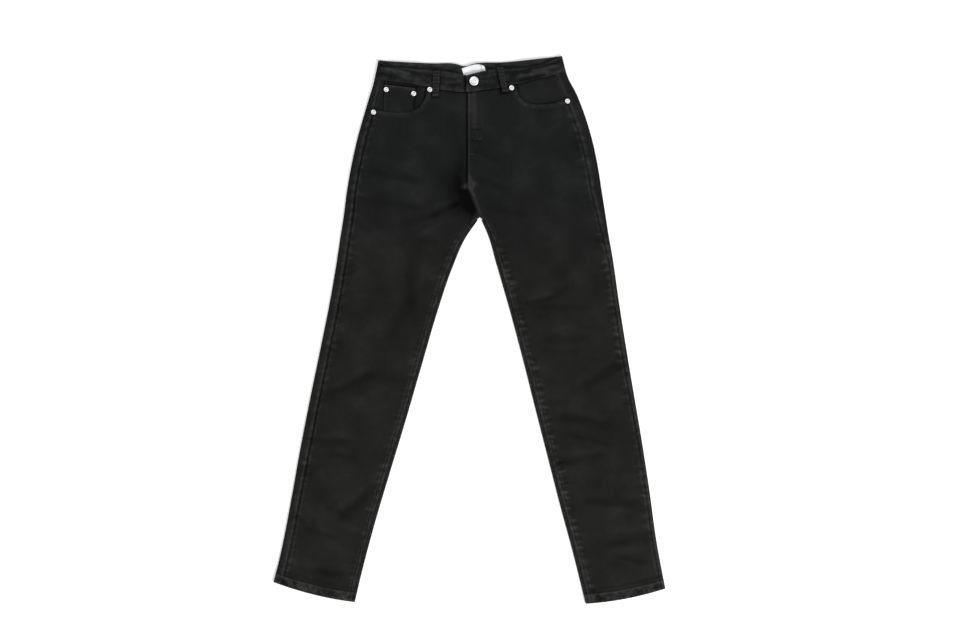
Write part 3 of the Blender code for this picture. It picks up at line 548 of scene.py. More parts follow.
def painted_shade_and_wear_at(x, y, half=None):
    """What the front's colour gets at a point: painted shade in hollows, creases and edge shadows, painted
    highlights on ridges, real rubbing and an uneven tone.
    """
    creases = folds_at(x, y, CREASES)
    # Creases: painted shade in their grooves, and rubbing with a painted highlight on their ridges
    total = 1.3 * folds_at(x, y, PAINTED_SHADE_HIGHLIGHTS_AND_RUBS) + np.where(creases > 0, 0.25, 0.8) * creases
    total += 0.16 * mottle(x, y, 34, 57) + 0.05 * mottle(x, y, 12, 58) - 0.02
    if half:
        # Puckers: rubbing with painted highlights on their swells, and a little painted shade in their dips
        total += np.clip(folds_at(x, y, PUCKERS[half.name]), -0.22, 1.0)
    # Painted shade in a ring round the button and each rivet
    rings = [(*BUTTON_PLACE, BUTTON_RADIUS, 3.2)] + [(rx, ry, RIVET_RADIUS, 2.0) for _, rx, ry in RIVETS]
    for cx, cy, r, reach in rings:
        total = np.minimum(total, 0.6 - 1.7 * bell(np.hypot(x - cx, y - cy), reach, r))
    return np.clip(total, -1.3, 1.1)


def fell_mottle(x, y, seed):
    """The uneven rubbing of a thick seam, from about -1 to 1."""
    return 0.7 * mottle(x, y, 5.2, seed) + 0.5 * mottle(x, y, 2.9, seed + 1)


def hem_rope(x, hem):
    """The twisted swells of a hem, from -1 to 1."""
    wave = x / 8.6 + hem / 21 + 0.45 * mottle(x, hem, 19, 41)
    return np.sin(2 * np.pi * wave) * ease(hem / 2) * ease((14 - hem) / 2.5)


def hem_wear_and_painted_shade(x, hem):
    """The rubbing of a hem, by the distance from its rim: the rim, the swells and the row of stitches, with
    painted shade just above the hem's edge.
    """
    inside = ease((16.5 - hem) / 2)
    swell = 0.2 + 0.14 * hem_rope(x, hem) + 0.6 * mottle(x, hem, 7.2, 43) + 0.3 * mottle(x, hem, 3.4, 44)
    rim = 0.55 * bell(hem, 2.0) * (0.8 + 0.8 * mottle(x, hem, 7, 45))
    line = HEM_ROW + 0.5 * mottle(x, 0 * x, 9, 46)
    row = 0.65 * bell(hem, 1.2, line) * (1 + 0.5 * mottle(x, 0 * x, 4.1, 48))
    # Painted shade just above the hem's edge
    above = -0.4 * bell(hem, 1.3, 18.6) - 0.2 * bell(hem, 1.8, 25)
    return inside * swell + rim + row + above


def hem_bend(half, x, y):
    """How far a point near the hem lies below the straight section, because the hem bows down."""
    span = half.hem_end[0] - half.hem_start[0]
    share = np.clip((x - half.hem_start[0]) / span, 0, 1)
    return HEM_BEND * 4 * share * (1 - share) * (1 - ease(half.from_hem(x, y) / HEM_BEND_REACH))


def puckers(line, inward, spacing, start, reach, depth, seed):
    """Short slanting creases that a seam draws into the cloth beside it, as rows like those of FOLDS."""
    rng = np.random.default_rng(seed)
    marks = marks_along(line)
    rows = []
    s = rng.uniform(0, spacing)
    sign = 1
    while s < marks[-1]:
        x, y = on_line(line, marks, s)
        far = reach * rng.uniform(0.2, 1.2)
        slant = rng.uniform(-0.4, 0.4) * far
        swell = 0.72 + 0.28 * math.sin(s / 61 + seed) * math.sin(s / 23 + 2 * seed)
        height = sign * depth * rng.uniform(0.1, 1.25) * swell
        near_end = start + rng.uniform(-1.5, 2.5)
        width = rng.uniform(2.2, 3.4)
        rows.append((x + inward * near_end, y, x + inward * (near_end + far), y + slant, width, height))
        sign = -sign
        s += spacing * rng.uniform(0.45, 1.7)
    return rows


def inseam_line(half, top_y, foot_y, depth=0, count=80):
    """A line down the leg, a fixed way in from the inner fold."""
    points = []
    for y in np.linspace(top_y, foot_y, count):
        outer, inner, _ = half.section(y)
        points.append(inner - (inner - outer) / np.linalg.norm(inner - outer) * depth)
    points = np.array(points)
    points[:, 1] -= hem_bend(half, *points.T)
    return points


def seam_line(half, top_y, foot_y):
    """The side seam as the front sees it."""
    return np.array([half.beside_seam(y) for y in np.linspace(top_y, foot_y, 80)])


def all_puckers(half, seed):
    """The puckers of both long seams of one leg, which the photo shows stronger on the left one."""
    strong = half.name == "left"
    inseam = inseam_line(half, half.crotch_y - 30, half.hem_y + 22)
    rows = puckers(inseam, -half.inward, 5.4, 13.5, 6.0, 0.95 if strong else 0.4, seed)
    side = seam_line(half, 400, half.hem_y + 22)
    rows += puckers(side, half.inward, 8.0, 3, 8, 0.32, seed + 1)
    rows += puckers(side, -half.inward, 7.0, 1, 6, 0.3, seed + 2)
    if strong:
        rows += puckers(seam_line(half, 130, -60), half.inward, 6.0, 3, 7, 0.75, seed + 3)
    return rows


PUCKERS = {name: all_puckers(half, seed) for seed, (name, half) in zip((11, 23), HALVES.items())}

CREASE_DEPTH = 1.5


def top_relief(half, x, y):
    """What the fine creases and puckers add to the upper face of a leg."""
    outer, inner = half.from_folds(x, y)
    clear = ease((outer - 1.5) / 4) * ease((inner - 1.5) / 4)
    total = CREASE_DEPTH * folds_at(x, y, CREASES) + 0.55 * folds_at(x, y, PUCKERS[half.name])
    total = total + 0.14 * mottle(x, y, 26, 3) + 0.06 * mottle(x, y, 9, 4)
    return total * clear


def under_relief(x, y):
    """How far the creases of the underside lift it, never below nothing."""
    total = folds_at(x, y, BACK_CREASES) + 0.3 + 0.12 * mottle(x, y, 22, 5)
    return np.maximum(total, 0)


def front_face(half, x, y):
    """The whole upper face of a front without its seams."""
    z = front_top(half, x, y) + top_relief(half, x, y) + scoop_raise(half, x, y)
    if half.name == "left":
        z = z + fly_raise(x, y)
    return z


def spread(first, middle, last, length):
    """Places along a length: at the first distances from its start, evenly, and at the last from its end."""
    first = np.asarray(first, float)
    last = length - np.asarray(last, float)[::-1]
    between = np.linspace(first[-1], last[0], middle + 2)[1:-1]
    return np.concatenate([first, between, last])


def quilt(d, first, second, height):
    """The swell of cloth between two rows of stitches, with a dip along each row."""
    share = np.clip((d - first) / (second - first), 0, 1)
    rows = bell(d, 0.9, first) + bell(d, 0.9, second)
    return height * np.sin(np.pi * share) - 0.2 * rows


# ---------------------------------------------------------------- materials


class Look:
    """A material: one shader and the nodes that feed it, in the object's own coordinates."""

    def __init__(self, name, colour, roughness, metallic=0.0):
        self.material = bpy.data.materials.new(name)
        self.material.use_nodes = True
        self.material.diffuse_color = (*colour, 1)
        self.nodes = self.material.node_tree.nodes
        self.shader = self.nodes["Principled BSDF"]
        self.feed(self.shader, {"Base Color": colour, "Roughness": roughness, "Metallic": metallic})

    def feed(self, node, sockets):
        """Gives each named socket its value, or links it to the output given for it."""
        for name, value in sockets.items():
            socket = node.inputs[name]
            if isinstance(value, bpy.types.NodeSocket):
                self.material.node_tree.links.new(value, socket)
            else:
                socket.default_value = (*value, 1) if socket.type == "RGBA" else value
        return node

    def add(self, kind, output, sockets, **settings):
        """One output of a new node."""
        node = self.nodes.new("ShaderNode" + kind)
        for name, value in settings.items():
            setattr(node, name, value)
        return self.feed(node, sockets).outputs[output]

    def place(self):
        """Each point's place on the object, from one node that is made at its first use."""
        node = self.nodes.get("Texture Coordinate") or self.nodes.new("ShaderNodeTexCoord")
        return node.outputs["Object"]

    # The point attribute of rubbing, painted shade and painted highlights
    def wear_and_painted_shading(self):
        return self.add("Attribute", "Fac", {}, attribute_name="wear_and_painted_shading")

    def noise(self, scale, detail):
        return self.add("TexNoise", "Fac", {"Vector": self.place(), "Scale": scale, "Detail": detail})

    def wave(self, degrees, scale, distortion):
        """Fine parallel ribs, turned by an angle."""
        turn = {"Vector": self.place(), "Rotation": (0, 0, math.radians(degrees))}
        vector = self.add("Mapping", "Vector", turn)
        bands = {"Vector": vector, "Scale": scale, "Distortion": distortion, "Detail": 1, "Detail Scale": 2}
        return self.add("TexWave", "Fac", bands)

    def mix(self, share, low, high):
        return self.add("Mix", "Result", {"Factor": share, "A": low, "B": high}, data_type="RGBA")

    def span(self, value, low, high, to_low, to_high):
        ends = {"From Min": low, "From Max": high, "To Min": to_low, "To Max": to_high}
        return self.add("MapRange", "Result", {"Value": value, **ends})

    def join(self, first, second, operation="ADD"):
        return self.add("Math", 0, {0: first, 1: second}, operation=operation)

    def finish(self, colour, roughness, height, strength, distance, more=()):
        """Feeds the shader its colour, roughness and relief, and returns the material."""
        relief = self.add("Bump", "Normal", {"Height": height, "Strength": strength, "Distance": distance})
        self.feed(self.shader, {"Base Color": colour, "Roughness": roughness, "Normal": relief, **dict(more)})
        return self.material


# The dark and light tone of the hips, a little cool, and the lighter tone of the legs, a little warm
HIP_DARK = (0.0083, 0.0087, 0.0090)
HIP_LIGHT = (0.0118, 0.0121, 0.0122)
LEG_DARK = (0.0100, 0.0101, 0.0096)
LEG_LIGHT = (0.0144, 0.0144, 0.0136)
# The grey of rubbed twill, which also paints highlights
TWILL_WORN_AND_HIGHLIT = (0.045, 0.045, 0.0443)
# Near black, which paints shade in hollows, creases and seam grooves
TWILL_PAINTED_SHADE = (0.0012, 0.0012, 0.0013)

# The Y in metres where the hips' tone starts to turn into the legs', and where it is all the legs'
TONE_TURNS = (0.27, 0.12)


def twill():
    """Black twill: slanting ribs, yarns across them, uneven dye, grey where seams rub, painted highlights, and
    painted shade.
    """
    look = Look("twill_black", LEG_LIGHT, 0.7)
    ribs = look.wave(28, 330, 1.2)
    yarns = look.wave(-4, 520, 2.0)
    lint = look.noise(900, 3)
    cloud = look.noise(16, 4)
    patch = look.noise(95, 3)
    wear_and_painted_shading = look.wear_and_painted_shading()
    dye = look.join(look.span(cloud, 0.3, 0.7, 0, 0.6), look.span(patch, 0.3, 0.7, 0, 0.4))
    up = look.add("SeparateXYZ", "Y", {"Vector": look.place()})
    hip = look.mix(dye, HIP_DARK, HIP_LIGHT)
    base = look.mix(look.span(up, *TONE_TURNS, 0, 1), hip, look.mix(dye, LEG_DARK, LEG_LIGHT))
    rubbed = look.join(look.span(wear_and_painted_shading, 0, 1, 0, 1), look.span(patch, 0.25, 0.75, 0.55, 1.2), "MULTIPLY")
    ribbed = look.join(rubbed, look.span(ribs, 0, 1, 0.6, 1.1), "MULTIPLY")
    # Above nothing the cloth turns to the rubbed grey, real rubbing and painted highlight; below nothing it
    # turns to near black, painted shade
    cloth = look.mix(look.span(wear_and_painted_shading, -1, 0, 1, 0), look.mix(ribbed, base, TWILL_WORN_AND_HIGHLIT), TWILL_PAINTED_SHADE)
    weave = look.join(ribs, look.join(yarns, 0.45, "MULTIPLY"))
    weave = look.join(weave, look.join(lint, 0.8, "MULTIPLY"))
    soft = {"Specular IOR Level": 0.03, "Sheen Weight": 0.02, "Sheen Roughness": 0.5}
    return look.finish(cloth, look.span(lint, 0.3, 0.7, 0.6, 0.8), weave, 0.35, 0.00025, soft)


def thread():
    """Black sewing thread, with the twist of its plies."""
    look = Look("thread_black", (0.02, 0.02, 0.021), 0.6)
    lint = look.noise(700, 2)
    colour = look.mix(lint, (0.011, 0.011, 0.012), (0.024, 0.024, 0.025))
    rough = look.span(lint, 0.3, 0.7, 0.5, 0.75)
    return look.finish(colour, rough, look.wave(45, 900, 0.5), 0.4, 0.0001, {"Specular IOR Level": 0.15})


def metal():
    """Satin silver with a fine grain, painted near black in its hollows and at its rim's edge, where shade
    falls.
    """
    look = Look("metal_silver", (0.62, 0.62, 0.60), 0.4, 0.6)
    grain = look.noise(1500, 3)
    bright = look.mix(look.noise(260, 2), (0.94, 0.94, 0.93), (0.98, 0.98, 0.98))
    # Painted shade: the silver turns near black where the point attribute marks it
    colour = look.mix(look.wear_and_painted_shading(), bright, (0.10, 0.095, 0.09))
    return look.finish(colour, look.span(grain, 0.3, 0.7, 0.34, 0.5), grain, 0.15, 0.0001)


def woven_label():
    """White woven satin, with painted blue-grey shade where it turns away in its folds and round its rim."""
    look = Look("label_white", (0.83, 0.83, 0.82), 0.55)
    lint = look.noise(300, 3)
    white = look.mix(lint, (0.90, 0.91, 0.92), (0.98, 0.98, 0.97))
    # Painted blue-grey shade where the point attribute marks it
    colour = look.mix(look.wear_and_painted_shading(), white, (0.30, 0.35, 0.40))
    rough = look.span(lint, 0.3, 0.7, 0.45, 0.7)
    return look.finish(colour, rough, look.wave(98, 900, 0.6), 0.3, 0.0001, {"Sheen Weight": 0.1})


MATERIALS = {"twill": twill(), "thread": thread(), "metal": metal(), "label": woven_label()}

made = {}


def add_piece(name, points, faces, kind, wear_and_painted_shading=None, node=None, sharp=50):
    """A mesh in millimetres, ridden on the one body, with its finish. The solid that it stands for is hidden.
    """
    mesh = bpy.data.meshes.new(name)
    mesh.from_pydata(np.asarray(points) * MM, [], faces)
    mesh.materials.append(MATERIALS[kind])
    mesh.shade_smooth()
    mesh.set_sharp_from_angle(angle=math.radians(sharp))
    # Each point's rubbing, painted shade and painted highlights, as a point attribute
    if wear_and_painted_shading is not None:
        mesh.attributes.new("wear_and_painted_shading", "FLOAT", "POINT").data.foreach_set("value", np.asarray(wear_and_painted_shading, np.float32))
    piece = bpy.data.objects.new(name, mesh)
    bpy.context.scene.collection.objects.link(piece)
    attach(piece, "root")
    {"thread": "twill"}.get(kind, kind)
    if node:
        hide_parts(node)
    made[name] = piece
    return piece


def shell(node, outer, thick, up, wear_and_painted_shading=None, kind="twill"):
    """A closed thin shell behind a grid of outer points, whose first column faces up or down."""
    rows, columns = outer.shape[:2]
    normal = np.cross(np.gradient(outer, axis=1), np.gradient(outer, axis=0))
    normal = normal / np.maximum(np.linalg.norm(normal, axis=2, keepdims=True), 1e-9)
    if (normal[:, 0, 2].mean() > 0) != up:
        normal = -normal
    inner = outer - normal * thick
    points = np.concatenate([outer.reshape(-1, 3), inner.reshape(-1, 3)])
    back = rows * columns
    index = np.arange(back).reshape(rows, columns)
    quads = np.stack([index[:-1, :-1], index[:-1, 1:], index[1:, 1:], index[1:, :-1]], axis=-1).reshape(-1, 4)
    rim = np.concatenate([index[0, :], index[1:, -1], index[-1, -2::-1], index[-2:0:-1, 0]])
    following = np.roll(rim, -1)
    edge = np.stack([following, rim, back + rim, back + following], axis=-1)
    faces = np.concatenate([quads, back + quads[:, ::-1], edge])
    corner = np.cross(outer[0, 1] - outer[0, 0], outer[1, 0] - outer[0, 0])
    if np.dot(corner, normal[0, 0]) < 0:
        faces = faces[:, ::-1]
    if wear_and_painted_shading is None:
        wear_and_painted_shading = np.zeros((rows, columns))
    return add_piece(node + "_cloth", points, faces.tolist(), kind, np.tile(wear_and_painted_shading.ravel(), 2), node)


# ---------------------------------------------------------------- cloth pieces


def patch_between(top, foot, first, last, f, s):
    """A grid in plan whose four sides follow four lines that meet at its corners."""
    f = np.asarray(f)[:, None, None]
    s = np.asarray(s)[None, :, None]
    across = (1 - f) * top[None] + f * foot[None]
    down = (1 - s) * first[:, None] + s * last[:, None]
    corners = (1 - f) * ((1 - s) * top[0] + s * top[-1]) + f * ((1 - s) * foot[0] + s * foot[-1])
    return across + down - corners


def inseam_wrap(half, y):
    """How far the back comes round the inner fold, nothing at the crotch and full just below."""
    return INSEAM_WRAP * float(ease((half.crotch_y - y) / 5))


SIDE_STEPS = np.array([0, 1.2, 2.4, 3.8, 5.4, 7.4, 9.8, 12.6])
INSEAM_STEPS = np.array([0, 1.1, 2.2, 3.4, 4.8, 6.2, 7.4, 8.6, 10.0, 11.6, 13.4, 15.4, 17.6, 20.0])
HEM_STEPS = np.array([23, 21.4, 19.8, 18.4, 17, 15.6, 14.2, 12.8, 11.2, 9.6, 8, 6.4, 4.8, 3.2, 1.6, 0.6, 0])
FRONT_MIDDLE = 44
UPPER_ROWS = 62
SCOOP_COLUMNS = 38

# The y where the front's upper part, drawn from its edges, meets its straight sections
FRONT_JOIN_Y = 298


def front_section(half, y):
    """The points across the front on one section, in plan."""
    outer, inner, wrap = half.section(y)
    length = np.linalg.norm(inner - outer)
    start = wrap + HALF_SEAM
    last = length - inseam_wrap(half, y) - HALF_SEAM
    reach = start + spread(SIDE_STEPS, FRONT_MIDDLE, INSEAM_STEPS, last - start)
    return outer + (inner - outer) / length * reach[:, None]


def leg_rows(half):
    """The outer heights of a leg's rows, close together at the crotch and the hem."""
    start = half.crotch_y - np.array([0.8, 1.8, 3, 4, 5, 7, 9.5])
    hem = half.hem_y + HEM_STEPS
    middle = np.linspace(start[-1], hem[0], 400)[1:-1]
    return np.concatenate([start, middle, hem])


def front_panel(half):
    """A front, from the pocket edge and the waistband down to the hem."""
    columns = len(SIDE_STEPS) + FRONT_MIDDLE + len(INSEAM_STEPS)
    right = half.name == "right"
    lap = FLY_LAP if right else 0
    end_x = half.inner_at(440) - half.inward * HALF_SEAM + lap
    scoop = along_curve(half.scoop, SCOOP_COLUMNS)
    waist = spread([0], columns - SCOOP_COLUMNS - len(INSEAM_STEPS), INSEAM_STEPS, abs(end_x - scoop[-1, 0]))
    waist_x = scoop[-1, 0] + half.inward * waist
    waist_y = edge_y(FRONT_SEAM, waist_x) - HALF_SEAM
    scoop[-1, 1] = waist_y[0]
    top = np.concatenate([scoop[:-1], np.stack([waist_x, waist_y], axis=1)])
    foot = front_section(half, FRONT_JOIN_Y)
    f = spread(np.array([0, 1.2, 2.4, 3.8, 5.4, 7.2, 9.2, 11.4]) / 130, UPPER_ROWS, [0], 1.0)
    seam_y = half.scoop[0, 1] + f * (FRONT_JOIN_Y - half.scoop[0, 1])
    first = np.array([half.beside_seam(y, HALF_SEAM) for y in seam_y])
    first[0] = top[0]
    centre_y = waist_y[-1] + f * (foot[-1, 1] - waist_y[-1])
    lap_share = ease((centre_y - FLY_END) / 12)
    last = np.stack([half.inner_at(centre_y) - half.inward * HALF_SEAM + lap * lap_share, centre_y], axis=1)
    last[-1] = foot[-1]
    reach = np.linalg.norm(foot - foot[0], axis=1)
    plan = patch_between(top, foot, first, last, f, reach / reach[-1])
    rows = np.concatenate([np.linspace(FRONT_JOIN_Y, half.crotch_y, 38)[1:], leg_rows(half)])
    plan = np.concatenate([plan, [front_section(half, y) for y in rows]])
    plan[..., 1] -= hem_bend(half, plan[..., 0], plan[..., 1])
    x, y = plan[..., 0], plan[..., 1]
    z = front_face(half, x, y)
    side, inner = off_ends(plan)
    below = ease((half.crotch_y + 6 - y) / 12)
    hem = half.from_hem(x, y + hem_bend(half, x, y))
    opening = near(x, y, top[:SCOOP_COLUMNS])
    waist_off = near(x, y, top[SCOOP_COLUMNS - 1:])
    on_side = ease((half.scoop[0, 1] - y) / 10)
    z = z - 0.5 * bell(side, 1.4) * on_side + 0.12 * bell(side, 2.5, 4.5) * on_side
    z = z + quilt(inner, 1.2, 7.6, 0.3) * below - 0.25 * bell(inner, 0.8) * below
    if not right:
        fly = ease((y - 214) / 10)
        z = z + fly * (0.3 * bell(inner, 2.2, 3) - 0.35 * bell(inner, 1.0))
    z = z + quilt(opening, *SCOOP_ROWS, 0.3) - 0.35 * bell(opening, 1.0)
    z = z - 0.35 * bell(waist_off, 1.6)
    z = z + quilt(hem, 0.5, HEM_ROW, 0.22) + 0.22 * hem_rope(x, hem)
    # Painted shade in the side seam's groove, stronger on the right and towards the waist
    painted_seam_shade = (0.85 if right else 0.4) * (0.4 + 0.6 * ease((y + 430) / 220))
    fell = bell(inner, 2.8, 4.2) * below
    wear_and_painted_shading = 0.4 * bell(side, 2.6, 3.5) * on_side * (0.7 + 0.8 * fell_mottle(x, y, 33))
    wear_and_painted_shading = wear_and_painted_shading + fell * (0.45 + 0.45 * fell_mottle(x, y, 35))
    wear_and_painted_shading = wear_and_painted_shading + 0.42 * bell(inner, 1.1, 9.6) * below
    # Painted shade between the fell's rows
    wear_and_painted_shading = wear_and_painted_shading - 0.55 * bell(inner, 0.9, 7.8) * below
    wear_and_painted_shading = wear_and_painted_shading + bell(opening, 3.2, 3.6) * (0.3 + 0.35 * fell_mottle(x, y, 37))
    # Painted shade in the side seam's groove, along the waist seam and at the inseam's edge
    wear_and_painted_shading = wear_and_painted_shading - painted_seam_shade * bell(side, 2.0) * on_side - 1.3 * bell(waist_off, 1.4)
    wear_and_painted_shading = wear_and_painted_shading - 1.1 * bell(inner, 0.9) * below + painted_shade_and_wear_at(x, y, half) + hem_wear_and_painted_shade(x, hem)
    thick = np.where(hem.mean(axis=1) < HEM_DEPTH, HEM, CLOTH)[:, None, None]
    return shell("front_" + half.name, np.stack([x, y, z], axis=2), thick, True, wear_and_painted_shading)


OVER_COLUMNS = 10
TURN = np.radians(np.linspace(90, -90, 11)[1:-1])
UNDER_COLUMNS = 54
INNER_COLUMNS = 5


def ring_row(half, y, inner, inseam=0.0, rise=0.0, seam_share=0.0, across=None):
    """One row round the back: over the outer fold, along the surface and, on a leg, up the inner fold.

    inseam is how far a leg's row comes round its inner fold, and rise is 1 where that fold is whole and 0
    where the row ends flat. seam_share is 1 where the side seam's end follows the waistband's seam, and
    across gives the y at each x of a row that isn't straight.
    """
    outer, _, wrap = half.section(y)
    length = np.linalg.norm(inner - outer)
    run = (inner - outer) / length
    radius = float(half.fold_height(outer[0], outer[1])) / 2
    over = np.linspace(wrap - HALF_SEAM, radius, OVER_COLUMNS)
    fold = radius - radius * np.cos(TURN)
    ending = len(TURN) + INNER_COLUMNS
    flat = np.linspace(length - 24, length - HALF_SEAM, ending + 1)
    back_up = np.linspace(length - radius, length - inseam + HALF_SEAM, INNER_COLUMNS)
    raised = np.concatenate([[length - radius], length - fold[::-1], back_up])
    rest = rise * raised + (1 - rise) * flat
    under = np.linspace(radius, rest[0], UNDER_COLUMNS + 1)[:-1]
    reach = np.concatenate([over, fold, under, rest])
    plan = outer + run * reach[:, None]
    drop = seam_share * (half.waist_y - half.seam_top())
    for i in range(OVER_COLUMNS):
        plan[i] = half.reached(y - drop * reach[i] / wrap, reach[i])
    if across is not None:
        plan[OVER_COLUMNS:, 1] = across(plan[OVER_COLUMNS:, 0])
    plan[:, 1] -= hem_bend(half, plan[:, 0], plan[:, 1])
    x, y = plan.T
    away = ease((reach - radius) / 10)
    z = (under_lift(x, y) + under_relief(x, y) * (1 - rise * (1 - ease((length - radius - reach) / 10)))) * away
    top = slice(0, OVER_COLUMNS)
    z[top] = front_top(half, x[top], y[top]) + top_relief(half, x[top], y[top])
    turn = slice(OVER_COLUMNS, OVER_COLUMNS + len(TURN))
    z[turn] = radius + radius * np.sin(TURN)
    if rise:
        last = slice(-INNER_COLUMNS, None)
        bend = slice(-ending, -INNER_COLUMNS)
        z[bend] = rise * (radius - radius * np.sin(TURN)) + (1 - rise) * z[bend]
        up = front_top(half, x[last], y[last]) + top_relief(half, x[last], y[last])
        z[last] = rise * up + (1 - rise) * z[last]
    return np.stack([x, y, z], axis=1)


BACK_SEAM_SHIFT = 1.8

# Too far from a seam for it to show
FAR = 99


def yoke_line(half):
    return half.waist_y - YOKE_DROP_SIDE


def centre_point(half, y):
    """A point of the back's centre seam, a little beside the front's so that no light comes through."""
    return np.array([float(half.inner_at(y)) - BACK_SEAM_SHIFT * float(ease((y - half.crotch[1]) / 25)), y])


def back_seams(half, grid, lines):
    """The relief, wear and painted shade of a back or yoke at its side seam and at lines that it is told its
    distance from.
    """
    x, y = grid[..., 0], grid[..., 1]
    side, _ = off_ends(grid)
    side[:, OVER_COLUMNS + len(TURN) // 2:] = FAR
    over = slice(0, OVER_COLUMNS)
    turn = slice(OVER_COLUMNS, OVER_COLUMNS + len(TURN))
    under = slice(OVER_COLUMNS + len(TURN), None)
    grid[..., 2] += 0.3 * bell(side, 3.2, 5.5) - 0.35 * bell(side, 1.2)
    painted_seam_shade = 0.9 if half.name == "right" else 0.4
    wear_and_painted_shading = 0.22 * bell(side, 9, 0, 4) * (1 + 1.3 * fell_mottle(x, y, 39))
    # Rubbing beside the side seam, and painted shade in its groove
    wear_and_painted_shading = wear_and_painted_shading + 0.3 * bell(side, 2.2, 3.2) - painted_seam_shade * bell(side, 1.5)
    wear_and_painted_shading[:, turn] += 0.3
    wear_and_painted_shading[:, over] += painted_shade_and_wear_at(x[:, over], y[:, over], half)
    for away in lines:
        away = away[:, under]
        grid[:, under, 2] += 0.22 * bell(away, 1.4)
        wear_and_painted_shading[:, under] += bell(away, 4, 5) * (0.3 + 0.3 * fell_mottle(x[:, under], y[:, under], 47))
        # Painted shade along each seam line
        wear_and_painted_shading[:, under] -= 1.2 * bell(away, 1.1)
    return wear_and_painted_shading


def yoke(half):
    """The yoke, from the waistband to the seam across the seat. It comes round the hip to the side seam."""
    grid = []
    low_y = (yoke_line(half) + HALF_SEAM, YOKE_CENTRE_Y + HALF_SEAM)
    low = sorted([(float(half.outer_at(low_y[0])), low_y[0]), tuple(centre_point(half, low_y[1]))])
    low_x, low_y = zip(*low)
    for share in np.linspace(0, 1, 28):
        side = half.waist_y + share * (yoke_line(half) + HALF_SEAM - half.waist_y)
        centre = CENTRE_BACK_Y + share * (YOKE_CENTRE_Y + HALF_SEAM - CENTRE_BACK_Y)

        def across(x):
            return (1 - share) * (edge_y(BACK_SEAM, x) - HALF_SEAM) + share * np.interp(x, low_x, low_y)

        grid.append(ring_row(half, side, centre_point(half, centre), seam_share=1 - share, across=across))
    grid = np.array(grid)
    ends = [np.linalg.norm((grid - grid[row])[..., :2], axis=2) for row in (0, -1)]
    wear_and_painted_shading = back_seams(half, grid, [*ends, off_ends(grid)[1]])
    return shell("yoke_" + half.name, grid, CLOTH, True, wear_and_painted_shading)


def back_panel(half):
    """A back, from the yoke to the hem. It comes round both folds of the leg to meet the front."""
    grid = []
    for share in np.linspace(0, 1, 88):
        side = yoke_line(half) - HALF_SEAM + share * (half.crotch_y - yoke_line(half))
        centre = YOKE_CENTRE_Y - HALF_SEAM + share * (half.crotch[1] - YOKE_CENTRE_Y)
        grid.append(ring_row(half, max(side, half.crotch_y), centre_point(half, max(centre, half.crotch[1]))))
    for y in leg_rows(half):
        rise = float(ease((half.crotch_y - y) / 5))
        grid.append(ring_row(half, y, half.section(y)[1], inseam_wrap(half, y), rise))
    grid = np.array(grid)
    x, y = grid[..., 0], grid[..., 1]
    hem = half.from_hem(x, y + hem_bend(half, x, y))
    yoke_seam = np.linalg.norm((grid - grid[0])[..., :2], axis=2)
    centre = off_ends(grid)[1] + FAR * ease((half.crotch[1] + 8 - y) / 8)
    grid[..., 2] += 0.2 * np.maximum(hem_rope(x, hem), 0)
    wear_and_painted_shading = back_seams(half, grid, [yoke_seam, centre]) + hem_wear_and_painted_shade(x, hem)
    last = slice(-INNER_COLUMNS - 4, None)
    rubbed = 0.15 + 0.35 * fell_mottle(x[:, last], y[:, last], 49)
    wear_and_painted_shading[:, last] += rubbed * ease((half.crotch_y - y[:, last]) / 10)
    thick = np.where(hem.mean(axis=1) < HEM_DEPTH, HEM, CLOTH)[:, None, None]
    return shell("back_" + half.name, grid, thick, True, wear_and_painted_shading)


def band_run(x, low, top, share):
    """The y along one run of the waistband, a share of the way from its seam to its top edge."""
    seam = edge_y(low, x) + HALF_SEAM
    return seam + share * (edge_y(top, x) - seam)


BAND_HEIGHT = 37
BAND_STEPS = np.array([0, 1.2, 2.4, 3.8, 5.6]) / BAND_HEIGHT
END_STEPS = np.array([0, 1.2, 2.4])
BAND_COLUMNS = 74
BAND_BACK_COLUMNS = 128


def band_face(x, y, share):
    """The upper face of the waistband's front before its ends lap, with its creases and sewn edges."""
    up = share * BAND_HEIGHT
    edges = -0.4 * bell(up, 1.5) - 0.5 * bell(BAND_HEIGHT, 1.2, up)
    rows = -0.2 * bell(up, 1.0, 2.6) - 0.2 * bell(BAND_HEIGHT - up, 1.0, 2.6)
    lumps = 0.2 * mottle(x, y * 2.5 + 0.2 * x, 13, 8)
    return band_top(x, y) + 1.6 * folds_at(x, y, BAND_CREASES) + lumps + edges + rows


def band_front(half, end, top_edge, lap, share):
    """One front of the waistband and the fold beside it, from its lapped end outwards."""
    radius = BAND_FOLD_HEIGHT / 2
    fold_x = half.band_edge(share)
    out = -half.inward
    run = np.linspace(end + out * 4, fold_x - out * radius, BAND_COLUMNS)
    x = np.concatenate([end + out * END_STEPS, run, fold_x - out * (radius - radius * np.cos(TURN))])
    y = band_run(x, FRONT_SEAM, top_edge, share)
    z = band_face(x, y, share) + lap(x)
    z[-len(TURN):] = radius + radius * np.sin(TURN)
    return np.stack([x, y, z], axis=1)


